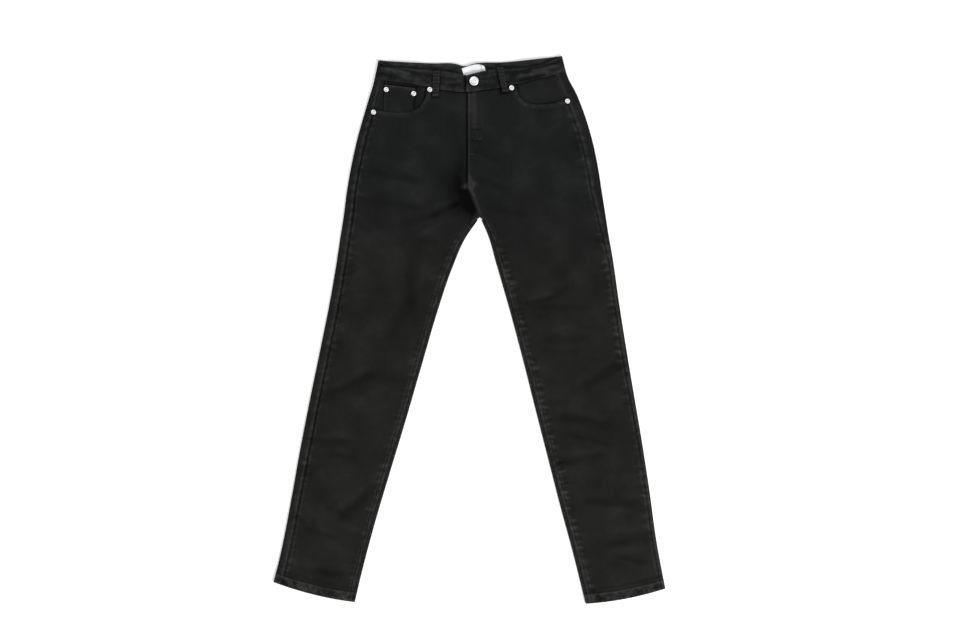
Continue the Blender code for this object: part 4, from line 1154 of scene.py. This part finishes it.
def waistband():
    """The waistband: right front, right fold, back, left fold and left front, whose end laps over the right."""
    radius = BAND_FOLD_HEIGHT / 2
    grid = []
    worn_and_painted_shading = []
    for share in spread(BAND_STEPS, 14, BAND_STEPS, 1.0):
        right, left = [half.band_edge(share) for half in HALVES.values()]
        x = np.linspace(right + radius, left - radius, BAND_BACK_COLUMNS)
        y = band_run(x, BACK_SEAM, BACK_TOP, share)
        inside = ease((np.minimum(x - right, left - x) - radius) / LIFT_MARGIN)
        lift = under_lift(x, y) + 0.22 * (1 + mottle(x * 0.6, y * 2, 11, 9))
        back = np.stack([x, y, lift * inside], axis=1)
        right_front = band_front(HALVES["right"], BAND_LAP_RIGHT, FRONT_TOP_RIGHT, band_lap_right, share)
        left_front = band_front(HALVES["left"], BAND_LAP_LEFT, FRONT_TOP_LEFT, band_lap_left, share)
        row = np.concatenate([right_front, back, left_front[::-1]])
        grid.append(row)
        up = share * BAND_HEIGHT
        edge = 0.25 * bell(up, 3) + 0.35 * bell(BAND_HEIGHT - up, 2.5, 2)
        # Painted shade along the waistband's seam
        edge -= 0.5 * bell(up, 1.0)
        x, y = row[:, 0], row[:, 1]
        in_front = abs(np.arange(len(row)) - len(row) / 2) > BAND_BACK_COLUMNS / 2
        blotch = 0.26 * mottle(x + 0.5 * y, 2.4 * y - 0.3 * x, 15, 17) + 0.22 * fell_mottle(x, y, 51)
        # The creases add rubbing with painted highlights on their ridges and painted shade in their troughs
        front = 0.2 + 1.2 * folds_at(x, y, BAND_CREASES) + painted_shade_and_wear_at(x, y) + blotch
        worn_and_painted_shading.append(edge + np.where(in_front, front, 0.25 + 0.3 * mottle(x, 3 * y, 9, 15)))
    return shell("waistband", np.array(grid), BAND, True, np.array(worn_and_painted_shading))


def pocket_facing(half):
    """The facing behind a pocket opening, which reaches a little way under the front."""
    columns = 44
    rows = 26
    scoop = along_curve(half.scoop, columns)
    foot = offset_line(scoop, -SCOOP_LAP * half.inward)
    f = np.linspace(0, 1, rows)
    seam_y = half.seam_top() + f * (foot[0, 1] - half.seam_top())
    first = np.array([half.beside_seam(y, HALF_SEAM) for y in seam_y])
    foot[0] = first[-1]
    top_x = np.linspace(first[0, 0], foot[-1, 0], columns)
    top = np.stack([top_x, edge_y(FRONT_SEAM, top_x) - HALF_SEAM], axis=1)
    first[0] = top[0]
    foot[-1, 1] = top[-1, 1] - 4
    last = np.linspace(top[-1], foot[-1], rows)
    plan = patch_between(top, foot, first, last, f, np.linspace(0, 1, columns))
    x, y = plan[..., 0], plan[..., 1]
    z = front_top(half, x, y) + top_relief(half, x, y) - FACING_DROP
    side, _ = off_ends(plan)
    z = z - 0.4 * bell(side, 1.4) - 0.3 * bell(near(x, y, top), 1.4)
    # Painted shade in the recess beside the pocket opening, stronger towards the waist
    painted_recess_shade = 0.35 + 0.75 * ease((y - scoop[0, 1] - 2) / 22)
    wear_and_painted_shading = 0.3 * bell(side, 3) + painted_shade_and_wear_at(x, y, half) - painted_recess_shade * bell(near(x, y, scoop), 2.6)
    # Painted shade along the waist seam
    wear_and_painted_shading = wear_and_painted_shading - 0.9 * bell(near(x, y, top), 1.4)
    return shell("pocket_facing_" + half.name, np.stack([x, y, z], axis=2), CLOTH, True, wear_and_painted_shading)


def coin_pocket():
    """The coin pocket on the right facing. Its foot ends just short of the edge of the front."""
    half = HALVES["right"]
    top = np.linspace(*COIN_TOP, 30)
    foot_x = np.linspace(COIN_TOP[0][0], COIN_TOP[1][0] - COIN_TAPER, 30)
    opening = along_curve(half.scoop, 60)[:40]
    foot_y = np.interp(foot_x, opening[:, 0], opening[:, 1]) + 2 * SEAM
    foot = np.stack([foot_x, foot_y], axis=1)
    f = spread(np.array([0, 1.0, 2.2, 3.6, 5.0, 6.6, 8.4]) / 48, 16, [0], 1.0)
    first = top[0] + (foot[0] - top[0]) * f[:, None]
    last = top[-1] + (foot[-1] - top[-1]) * f[:, None]
    plan = patch_between(top, foot, first, last, f, np.linspace(0, 1, 30))
    x, y = plan[..., 0], plan[..., 1]
    z = front_top(half, x, y) + top_relief(half, x, y) + COIN_RAISE
    upper = near(x, y, top)
    sides = np.minimum(*off_ends(plan))
    z = z + quilt(upper, 1.6, 7.0, 0.3) - 0.3 * bell(sides, 1.0) + 0.2 * bell(sides, 2, 3.5)
    wear_and_painted_shading = (0.35 + 0.4 * fell_mottle(x, y, 53)) * bell(np.minimum(upper / 1.6, sides), 3.4)
    # Painted shade along the pocket's sides
    wear_and_painted_shading = wear_and_painted_shading + painted_shade_and_wear_at(x, y) - 0.8 * bell(sides, 0.9)
    return shell("coin_pocket", np.stack([x, y, z], axis=2), COIN, True, wear_and_painted_shading)


PATCH_STEPS = np.array([0, 1.2, 2.6, 4.2, 6, 8])


def patch_pocket(side, cx, cy):
    """A patch pocket of the back, which lies flat on the surface."""
    w = PATCH_WIDTH / 2
    d = PATCH_DEPTH / 2
    s = spread(PATCH_STEPS / w - 1, 44, PATCH_STEPS / w, 1.0)
    f = spread(PATCH_STEPS / PATCH_DEPTH, 44, PATCH_STEPS / PATCH_DEPTH, 1.0)
    f, s = np.meshgrid(f, s, indexing="ij")
    x = cx + s * (w - PATCH_TAPER * f)
    y = cy + d - f * (PATCH_DEPTH - PATCH_POINT * abs(s))
    edge = np.minimum(w * (1 - abs(s)), (1 - f) * PATCH_DEPTH)
    upper = f * PATCH_DEPTH
    z = 0.14 * (1 + mottle(x, y, 17, 12)) + 0.12 * bell(edge, 1.2) + 0.12 * bell(upper, 1.4)
    wear_and_painted_shading = bell(np.minimum(edge, upper), 5.5, 0, 4) * (0.3 + 0.4 * fell_mottle(x, y, 55))
    wear_and_painted_shading = wear_and_painted_shading + 0.3 * bell(np.minimum(edge, upper), 1.4)
    return shell("back_pocket_" + side, np.stack([x, y, z], axis=2), PATCH * 0.9, False, wear_and_painted_shading)


def back_loop(name, x):
    """A belt loop of the back, flat between the waistband and the surface."""
    top = float(edge_y(BACK_TOP, x)) - 0.5
    foot = float(edge_y(BACK_SEAM, x)) - LOOP_TAIL
    across = np.array([-1, -0.86, -0.6, -0.3, 0, 0.3, 0.6, 0.86, 1]) * LOOP_WIDTH / 2
    xs, ys = np.meshgrid(across + x, np.linspace(top, foot, 34))
    z = 0.18 * (abs(xs - x) / LOOP_WIDTH * 2) ** 4 + 0.06 * (1 + mottle(xs * 0.2, ys * 3, 12, 14))
    wear_and_painted_shading = 0.5 * (abs(xs - x) / LOOP_WIDTH * 2) ** 2
    return shell(name, np.stack([xs, ys, z], axis=2), LOOP * 0.85, False, wear_and_painted_shading)


def highest_cloth(x, y):
    """The highest face of the front or its waistband near a point, for what is laid over both."""
    half = HALVES["right" if x < 0 else "left"]
    heights = []
    for near_y in y + np.array([-7, -3.5, 0, 3.5, 7]):
        if near_y > edge_y(FRONT_SEAM, x) - 1:
            heights.append(float(band_top(x, near_y)))
        else:
            raised = max(float(scoop_raise(half, x, near_y)), COIN_RAISE)
            heights.append(float(front_top(half, np.array(x), near_y)) + raised)
    return max(heights)


def front_loop(name, top_x, top_y, foot_x, foot_y, top_width, foot_width):
    """A belt loop of the front, an arch over the waistband, with the folds that its ends push into it."""
    length = math.hypot(top_x - foot_x, top_y - foot_y)
    banding = 0.26 if top_x < 0 else 0.13
    across = np.array([-1, -0.88, -0.62, -0.32, 0, 0.32, 0.62, 0.88, 1])
    share = np.linspace(0, 1, 40)[:, None]
    x = top_x + share * (foot_x - top_x)
    y = top_y + share * (foot_y - top_y)
    width = top_width + share * (foot_width - top_width)
    heights = []
    for middle, row_y, row_width in zip(x[:, 0], y[:, 0], width[:, 0]):
        heights.append(max(highest_cloth(middle + side * row_width / 2, row_y) for side in (-1, 0, 1)))
    heights = np.convolve(np.pad(heights, 3, mode="edge"), np.ones(7) / 7, mode="valid")[:, None]
    width = width * (1 + 0.05 * np.sin(share * 19) - 0.08 * bell(share, 0.06, 0.86))
    fold = banding * np.sin(share * length / 6.2 * 2 * math.pi + 0.7 * np.sin(share * 9))
    knob = 0.4 * bell(share, 0.05, 0.93) - 0.35 * bell(share, 0.04, 0.85)
    z = heights + SEAM + LOOP + LOOP_ARCH * 4 * share * (1 - share)
    z = z + fold * (1 - 0.5 * across**2) + knob - 0.45 * across**4
    # Rubbing at the loop's edges; its folds and knob get painted highlights on their swells and painted shade
    # in their dips
    worn_and_painted_shading = 0.22 + 0.25 * across**2 + 1.1 * fold + 0.9 * knob
    return shell(name, np.stack([x + across * width / 2, y + 0 * across, z], axis=2), LOOP, True, worn_and_painted_shading)


# The label's upper and lower edges at the same shares of its length. Its left end shows cut on a slant
LABEL_KNOTS = (0, 0.14, 0.36, 0.55, 0.76, 0.92, 1)
LABEL_TOP = (
    (-14.2, 484.2), (-8.8, 486.2), (1.4, 489.9), (10.0, 491.8), (19.1, 492.2), (26.2, 489.6), (28.0, 488.2),
)
LABEL_FOOT = (
    (-8.4, 466.0), (-4.5, 465.2), (4.5, 466.6), (13.0, 467.9), (22.6, 469.4), (30.2, 470.6), (33.6, 471.2),
)


def label():
    """The blank woven label inside the back of the waistband, its right end folded over."""
    share_x = np.linspace(0, 1, 60)
    share_y = np.linspace(0, 1, 34)
    top = np.array([np.interp(share_x, LABEL_KNOTS, column) for column in np.transpose(LABEL_TOP)]).T
    foot = np.array([np.interp(share_x, LABEL_KNOTS, column) for column in np.transpose(LABEL_FOOT)]).T
    plan = top[None] + (foot - top)[None] * share_y[:, None, None]
    x, y = plan[..., 0], plan[..., 1]
    rim = np.minimum(np.minimum(x - x[:, :1], x[:, -1:] - x), np.minimum(top[:, 1] - y, 9))
    bow = 0.12 * (1 + np.sin(x / 5 + 0.8 + y / 9)) * ease(rim / 2)
    fold = x - 23.6 - (484 - y) * 0.32
    z = UNDER_LIFT + BAND + SEAM + LABEL + 0.3 + bow + 0.35 * ease(fold / 1.6) * ease((x[:, -1:] - x) / 1.5)
    # Painted blue-grey shade along the fold and beside it, in a soft patch at the lower left and round the rim,
    # with uneven mottling
    wear_and_painted_shading = 0.75 * bell(fold, 0.75) + 0.2 * bell(fold, 2.0, -2.6)
    wear_and_painted_shading = wear_and_painted_shading + 0.28 * np.exp(-(((x + 7) / 5) ** 2 + ((y - 475) / 4) ** 2))
    wear_and_painted_shading = wear_and_painted_shading + 0.12 * (1 + mottle(x, y, 5, 19)) + 0.35 * bell(rim, 0.7)
    return shell("label", np.stack([x, y, z], axis=2), LABEL, True, np.clip(wear_and_painted_shading, 0, 1), kind="label")


# ---------------------------------------------------------------- metal


def turned(node, profile, x, y, z, steps, painted_shade):
    """A round metal piece, turned from a profile that runs from the top of its axis to the foot."""
    profile = np.array(profile, float)
    marks = marks_along(profile)
    fine = np.linspace(0, marks[-1], 5 * len(profile))
    radii = np.clip(smooth(marks, profile[:, 0], fine), 0, profile[:, 0].max())
    heights = np.clip(smooth(marks, profile[:, 1], fine), 0, profile[:, 1].max())
    radii[0] = 0
    angles = np.arange(steps) * 2 * math.pi / steps
    points = [(x, y, z + heights[0])]
    wear_and_painted_shading = [0.0]
    for r, h in zip(radii[1:], heights[1:]):
        r = max(r, 0.01)
        points += [(x + r * math.cos(a), y + r * math.sin(a), z + h) for a in angles]
        # The painted shade at this radius
        wear_and_painted_shading += [float(np.interp(r, *painted_shade))] * steps
    rings = len(radii) - 1
    faces = [(0, 1 + i, 1 + (i + 1) % steps) for i in range(steps)]
    for ring in range(rings - 1):
        for i in range(steps):
            a = 1 + ring * steps + i
            b = 1 + ring * steps + (i + 1) % steps
            faces.append((a, a + steps, b + steps, b))
    faces.append(tuple(reversed([1 + (rings - 1) * steps + i for i in range(steps)])))
    return add_piece(node + "_metal", points, faces, "metal", wear_and_painted_shading, node, sharp=60)


def rivet(name, x, y):
    """A rivet's head: a low rim, a shallow ring and a raised centre."""
    r = RIVET_RADIUS
    profile = (
        (0, 1.5), (0.6, 1.48), (1.1, 1.35), (1.5, 0.95), (1.9, 0.8), (2.8, 0.75), (3.5, 1), (3.9, 1.1),
        (4.3, 0.98), (r - 0.1, 0.5), (r, 0.1), (r - 0.1, 0), (0, 0),
    )
    around = [highest_cloth(x + r * math.cos(a), y + r * math.sin(a)) for a in np.linspace(0, 5.5, 8)]
    # Painted shade on the rivet: dark in the ring round its centre and at the rim's outer edge
    painted_shade = ((0, 1.2, 1.7, 2.3, 3.0, 3.8, 4.4, 4.75), (0, 0, 0.75, 0.45, 0.1, 0, 0.3, 0.85))
    turned(name, profile, x, y, max(around) + SEAM, 48, painted_shade)


def button():
    """The button: a rim round a sunk face, on a short neck."""
    r = BUTTON_RADIUS
    profile = (
        (0, 3), (1.2, 2.98), (1.7, 2.8), (2.1, 2.4), (2.6, 2.3), (5.6, 2.5), (6.3, 2.9), (7, 3.1),
        (7.7, 2.98), (8.2, 2.6), (r, 1.9), (8.2, 1.3), (7.6, 1.1), (4, 0.8), (3.4, 0), (0, 0),
    )
    x, y = BUTTON_PLACE
    # Painted shade on the button: dark round its centre, inside its rim and at its outer edge
    painted_shade = ((0, 1.6, 2.2, 3.0, 5.4, 6.0, 7.0, 8.0, 8.5), (0, 0, 0.45, 0.1, 0.08, 0.3, 0, 0, 0.5))
    turned("button", profile, x, y, float(band_top(x, y) + band_lap_left(x)) + SEAM, 96, painted_shade)


# ---------------------------------------------------------------- sewing

STITCH = 2.6
PITCH = 3.3
THREAD = 0.34
TACK_PITCH = 0.62

# A stitch isn't made where the cloth steps up or down by more than this
LARGEST_STEP = 1.6

# The rows along the waistband's edges, as shares of its height
BAND_ROWS = (2.6 / BAND_HEIGHT, 1 - 2.6 / BAND_HEIGHT)

# The round end of the buttonhole
HOLE_END = np.array([33, 460.2])

sewn = {}


class Sewing:
    """Stitches on the outside of a piece, each a short thread with its ends sunk in the cloth."""

    def __init__(self, name, node, up=True):
        self.name = name
        self.node = node
        self.up = up
        self.points = []
        self.faces = []
        mesh = made[node + "_cloth"].data
        places = [v.co / MM for v in mesh.vertices]
        self.tree = BVHTree.FromPolygons(places, [tuple(p.vertices) for p in mesh.polygons])

    def touch(self, x, y):
        """The outermost cloth at a point in plan, and the way that it faces."""
        side = 1 if self.up else -1
        place, normal, _, _ = self.tree.ray_cast(Vector((x, y, 60 * side)), Vector((0, 0, -side)))
        if place is None:
            return None
        return place, normal if (normal.z > 0) == self.up else -normal

    def stitch(self, start, end, thread=THREAD):
        """One stitch from start to end, in plan."""
        first = self.touch(*start)
        last = self.touch(*end)
        if first is None or last is None or abs(first[0].z - last[0].z) > LARGEST_STEP:
            return
        run = (last[0] - first[0]).normalized()
        normal = (first[1] + last[1]).normalized()
        side = run.cross(normal)
        base = len(self.points)
        sink = normal * thread
        self.points.append(first[0] - sink)
        for share in (0.22, 0.78):
            middle = first[0].lerp(last[0], share)
            for offset in (side * thread, normal * thread * 0.75, -side * thread, -sink):
                self.points.append(middle + offset)
        self.points.append(last[0] - sink)
        for i in range(4):
            a = base + 1 + i
            b = base + 1 + (i + 1) % 4
            self.faces += [(base, b, a), (a, b, b + 4, a + 4), (base + 9, a + 4, b + 4)]

    def row(self, line):
        """A row of stitches along a line in plan."""
        line = np.asarray(line, float)
        marks = marks_along(line)
        s = 0.6
        while s + STITCH < marks[-1]:
            self.stitch(on_line(line, marks, s), on_line(line, marks, s + STITCH))
            s += PITCH

    def tack(self, start, end, width=2.2):
        """A bartack: close stitches across a short bar from start to end."""
        start = np.array(start, float)
        end = np.array(end, float)
        length = np.linalg.norm(end - start)
        run = (end - start) / length
        side = np.array([-run[1], run[0]]) * width / 2
        for s in np.arange(0, length, TACK_PITCH):
            middle = start + run * s
            self.stitch(middle - side, middle + side + run * 0.3, THREAD * 1.1)

    def finish(self):
        piece = add_piece(self.name, [tuple(p) for p in self.points], self.faces, "thread")
        sewn.setdefault(self.node, []).append(piece)


FLY_CURVE = ((24.6, 440), (26.3, 410), (25.6, 385), (21.5, 362), (13.5, 342), (1.6, 327))


def sew_front():
    for name, half in HALVES.items():
        work = Sewing("stitches_front_" + name, "front_" + name)
        for depth in INSEAM_ROWS:
            work.row(inseam_line(half, half.crotch_y - 8, half.hem_y + 1, depth, 140))
        scoop = along_curve(half.scoop, 60)
        for depth in SCOOP_ROWS:
            work.row(offset_line(scoop, -depth * half.inward)[3:-2])
        outer, inner, _ = half.section(half.hem_y + HEM_ROW)
        line = outer + (inner - outer) * np.linspace(0, 1, 60)[:, None]
        line[:, 1] -= hem_bend(half, line[:, 0], line[:, 1])
        work.row(line)
        if name == "left":
            curve = along_curve(FLY_CURVE, 60)
            work.row(curve)
            work.row(offset_line(curve, -5.5))
            centre = [(float(half.inner_at(y)) + 2.0, y) for y in np.linspace(436, 216, 60)]
            work.row(centre)
            work.row([(float(half.inner_at(y)) + 8.2, y) for y in np.linspace(322, 222, 40)])
            work.tack((0.5, 325.5), (8.5, 325.5))
            work.tack((18, 352), (24, 356))
        work.finish()


def sew_band():
    for name, top_edge, low, high in (("right", FRONT_TOP_RIGHT, -160, -9), ("left", FRONT_TOP_LEFT, -4, 166)):
        work = Sewing("stitches_band_" + name, "waistband")
        x = np.linspace(low, high, 90)
        for share in BAND_ROWS:
            work.row(np.stack([x, band_run(x, FRONT_SEAM, top_edge, share)], axis=1))
        if name == "left":
            end = np.linspace(0.08, 0.92, 12)
            work.row([(-3.6, float(band_run(-3.6, FRONT_SEAM, top_edge, s))) for s in end])
            for side in (-1, 1):
                for x0 in np.arange(18, HOLE_END[0], TACK_PITCH):
                    work.stitch((x0, HOLE_END[1] + side * 0.5), (x0 + 0.1, HOLE_END[1] + side * 2.4))
            for angle in np.radians(np.linspace(-80, 80, 9)):
                out = np.array([math.cos(angle), math.sin(angle)])
                work.stitch(HOLE_END + 0.5 * out, HOLE_END + (2.6, 2.4) * out)
        work.finish()


def sew_back():
    """The sewing of the underside: yoke, centre and hem seams, patch pockets and waistband."""
    for name, half in HALVES.items():
        work = Sewing("stitches_back_" + name, "back_" + name, up=False)
        outer, inner, _ = half.section(half.hem_y + HEM_ROW)
        line = outer + (inner - outer) * np.linspace(0.01, 0.99, 60)[:, None]
        line[:, 1] -= hem_bend(half, line[:, 0], line[:, 1])
        work.row(line)
        start = np.array([float(half.outer_at(yoke_line(half))), yoke_line(half)])
        end = centre_point(half, YOKE_CENTRE_Y)
        for below in YOKE_ROWS:
            work.row(np.linspace(start, end, 30)[1:] - (0, below))
        if name == "left":
            for beside in YOKE_ROWS:
                work.row([centre_point(half, y) + (beside, 0) for y in np.linspace(376 - beside, 214, 60)])
        work.finish()
    w = PATCH_WIDTH / 2
    d = PATCH_DEPTH / 2
    for side, cx, cy in PATCH_PLACES:
        work = Sewing("stitches_pocket_" + side, "back_pocket_" + side, up=False)
        for depth in PATCH_ROWS:
            foot = w - PATCH_TAPER - depth
            corner = PATCH_POINT - d + 0.7 * depth
            point = depth * 1.1 - d
            outline = ((-w + depth, d - 1), (-foot, corner), (0, point), (foot, corner), (w - depth, d - 1))
            work.row([(cx + x, cy + y) for x, y in outline])
            work.row([(cx - w + 2, cy + d - depth * 1.6), (cx + w - 2, cy + d - depth * 1.6)])
        for end in (-1, 1):
            work.tack((cx + end * (w - 1.5), cy + d - 1), (cx + end * (w - 1.5), cy + d - 10))
        work.finish()
    work = Sewing("stitches_band_back", "waistband", up=False)
    x = np.linspace(-163, 167, 120)
    for share in BAND_ROWS:
        work.row(np.stack([x, band_run(x, BACK_SEAM, BACK_TOP, share)], axis=1))
    work.finish()


def sew_loops():
    """Two rows and two bartacks on each belt loop."""
    for name, x in BACK_LOOPS:
        work = Sewing("stitches_" + name, name, up=False)
        top = float(edge_y(BACK_TOP, x)) - 1
        foot = float(edge_y(BACK_SEAM, x)) - LOOP_TAIL + 0.5
        for side in (-3.6, 3.6):
            work.row([(x + side, top), (x + side, foot)])
        work.tack((x - 5, top - 2.5), (x + 5, top - 2.5))
        work.tack((x - 5, foot + 2.5), (x + 5, foot + 2.5))
        work.finish()
    for name, top_x, top_y, foot_x, foot_y, top_width, _ in FRONT_LOOPS:
        work = Sewing("stitches_" + name, name)
        for side in (-0.3, 0.3):
            work.row([(top_x + side * top_width, top_y - 1), (foot_x + side * top_width, foot_y + 1)])
        work.tack((top_x - 4.5, top_y - 2.2), (top_x + 4.5, top_y - 2.2))
        work.tack((foot_x - 4, foot_y + 2.4), (foot_x + 4, foot_y + 2.4))
        work.finish()
    work = Sewing("stitches_coin_pocket", "coin_pocket")
    (x0, y0), (x1, y1) = COIN_TOP
    for depth in COIN_ROWS:
        work.row([(x0 + 1, y0 - depth), (x1 - 1, y1 - depth)])
    work.row([(x0 + 2.0, y0 - 1), (x0 + 2.0, y0 - 44)])
    work.row([(x1 - 2.0, y1 - 1), (x1 - 2.0 - COIN_TAPER, y1 - 40)])
    work.row([(x1 - 7.5, y1 - 8), (x1 - 7.5 - COIN_TAPER, y1 - 40)])
    work.finish()


VIEW_CENTRE = (0.0199, 0.0167)
VIEW_WIDTH = 1.786
VIEW_DISTANCE = 6.0
SENSOR = 36
FLOOR_REACH = 8
FLOOR_DROP = 0.0002

# Columns: name, place, size, power
LAMPS = (
    ("key", (3.0, -3.2, 3.0), 1.8, 300),
    ("fill", (-3.2, 1.6, 3.8), 3.0, 62),
    ("top", (0.4, 0.2, 7.5), 2.4, 46),
)


def camera_and_light():
    """A camera straight above, a pale floor just below the part, and soft studio light."""
    scene = bpy.context.scene
    data = bpy.data.cameras.new("camera")
    data.sensor_width = SENSOR
    data.lens = SENSOR * VIEW_DISTANCE / VIEW_WIDTH
    data.clip_end = 100
    camera = bpy.data.objects.new("camera", data)
    camera.location = (*VIEW_CENTRE, VIEW_DISTANCE)
    scene.collection.objects.link(camera)
    scene.camera = camera
    mesh = bpy.data.meshes.new("floor")
    corners = [(x * FLOOR_REACH, y * FLOOR_REACH, -FLOOR_DROP) for x, y in ((-1, -1), (1, -1), (1, 1), (-1, 1))]
    mesh.from_pydata(corners, [], [(0, 1, 2, 3)])
    floor = bpy.data.objects.new("floor", mesh)
    scene.collection.objects.link(floor)
    look = Look("floor_white", (0.9, 0.9, 0.9), 0.9)
    look.feed(look.shader, {"Specular IOR Level": 0.1, "Emission Color": (1, 1, 1), "Emission Strength": 0.25})
    mesh.materials.append(look.material)
    scene.world = bpy.data.worlds.new("studio")
    scene.world.use_nodes = True
    back = scene.world.node_tree.nodes["Background"]
    back.inputs["Color"].default_value = (1, 1, 1, 1)
    back.inputs["Strength"].default_value = 0.36
    for name, place, size, power in LAMPS:
        light = bpy.data.lights.new(name, "AREA")
        light.shape = "DISK"
        light.size = size
        light.energy = power
        lamp = bpy.data.objects.new(name, light)
        lamp.location = place
        lamp.rotation_euler = (-Vector(place)).to_track_quat("-Z", "Y").to_euler()
        scene.collection.objects.link(lamp)
    scene.view_settings.view_transform = "Standard"


# Each cloth piece's cut of what shows, all round: width, length and area in metres. Then what it rests on
SHEETS = {
    "front_right": (0.237, 0.999, 0.161, "back_right"),
    "back_right": (0.276, 0.951, 0.1978, "back_pocket_right"),
    "yoke_right": (0.207, 0.074, 0.0100, "belt_loop_back_right"),
    "pocket_facing_right": (0.137, 0.064, 0.0055, "yoke_right"),
    "front_left": (0.230, 0.987, 0.1725, "back_left front_right"),
    "back_left": (0.268, 0.950, 0.1998, "back_pocket_left"),
    "yoke_left": (0.232, 0.074, 0.0106, "belt_loop_back_left"),
    "pocket_facing_left": (0.129, 0.059, 0.0045, "yoke_left"),
    "waistband": (0.748, 0.040, 0.0242, "belt_loop_back_right belt_loop_back_centre belt_loop_back_left"),
    "coin_pocket": (0.062, 0.049, 0.0027, "pocket_facing_right"),
    "label": (0.044, 0.025, 0.0010, "waistband"),
    "back_pocket_right": (0.140, 0.148, 0.0183, ""),
    "back_pocket_left": (0.140, 0.148, 0.0183, ""),
    "belt_loop_back_right": (0.013, 0.044, 0.00055, ""),
    "belt_loop_back_centre": (0.013, 0.044, 0.00055, ""),
    "belt_loop_back_left": (0.013, 0.044, 0.00055, ""),
    "belt_loop_front_right": (0.014, 0.049, 0.0006, "waistband"),
    "belt_loop_front_left": (0.012, 0.048, 0.0005, "waistband"),
}


def build():
    camera_and_light()
    for half in HALVES.values():
        front_panel(half)
        back_panel(half)
        yoke(half)
        pocket_facing(half)
    waistband()
    coin_pocket()
    label()
    for make, places in (
        (patch_pocket, PATCH_PLACES), (back_loop, BACK_LOOPS), (front_loop, FRONT_LOOPS), (rivet, RIVETS),
    ):
        for place in places:
            make(*place)
    button()
    sew_front()
    sew_band()
    sew_back()
    sew_loops()
    for node, (width, length, area, rests) in SHEETS.items():
        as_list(sewn.get(node, []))


build()
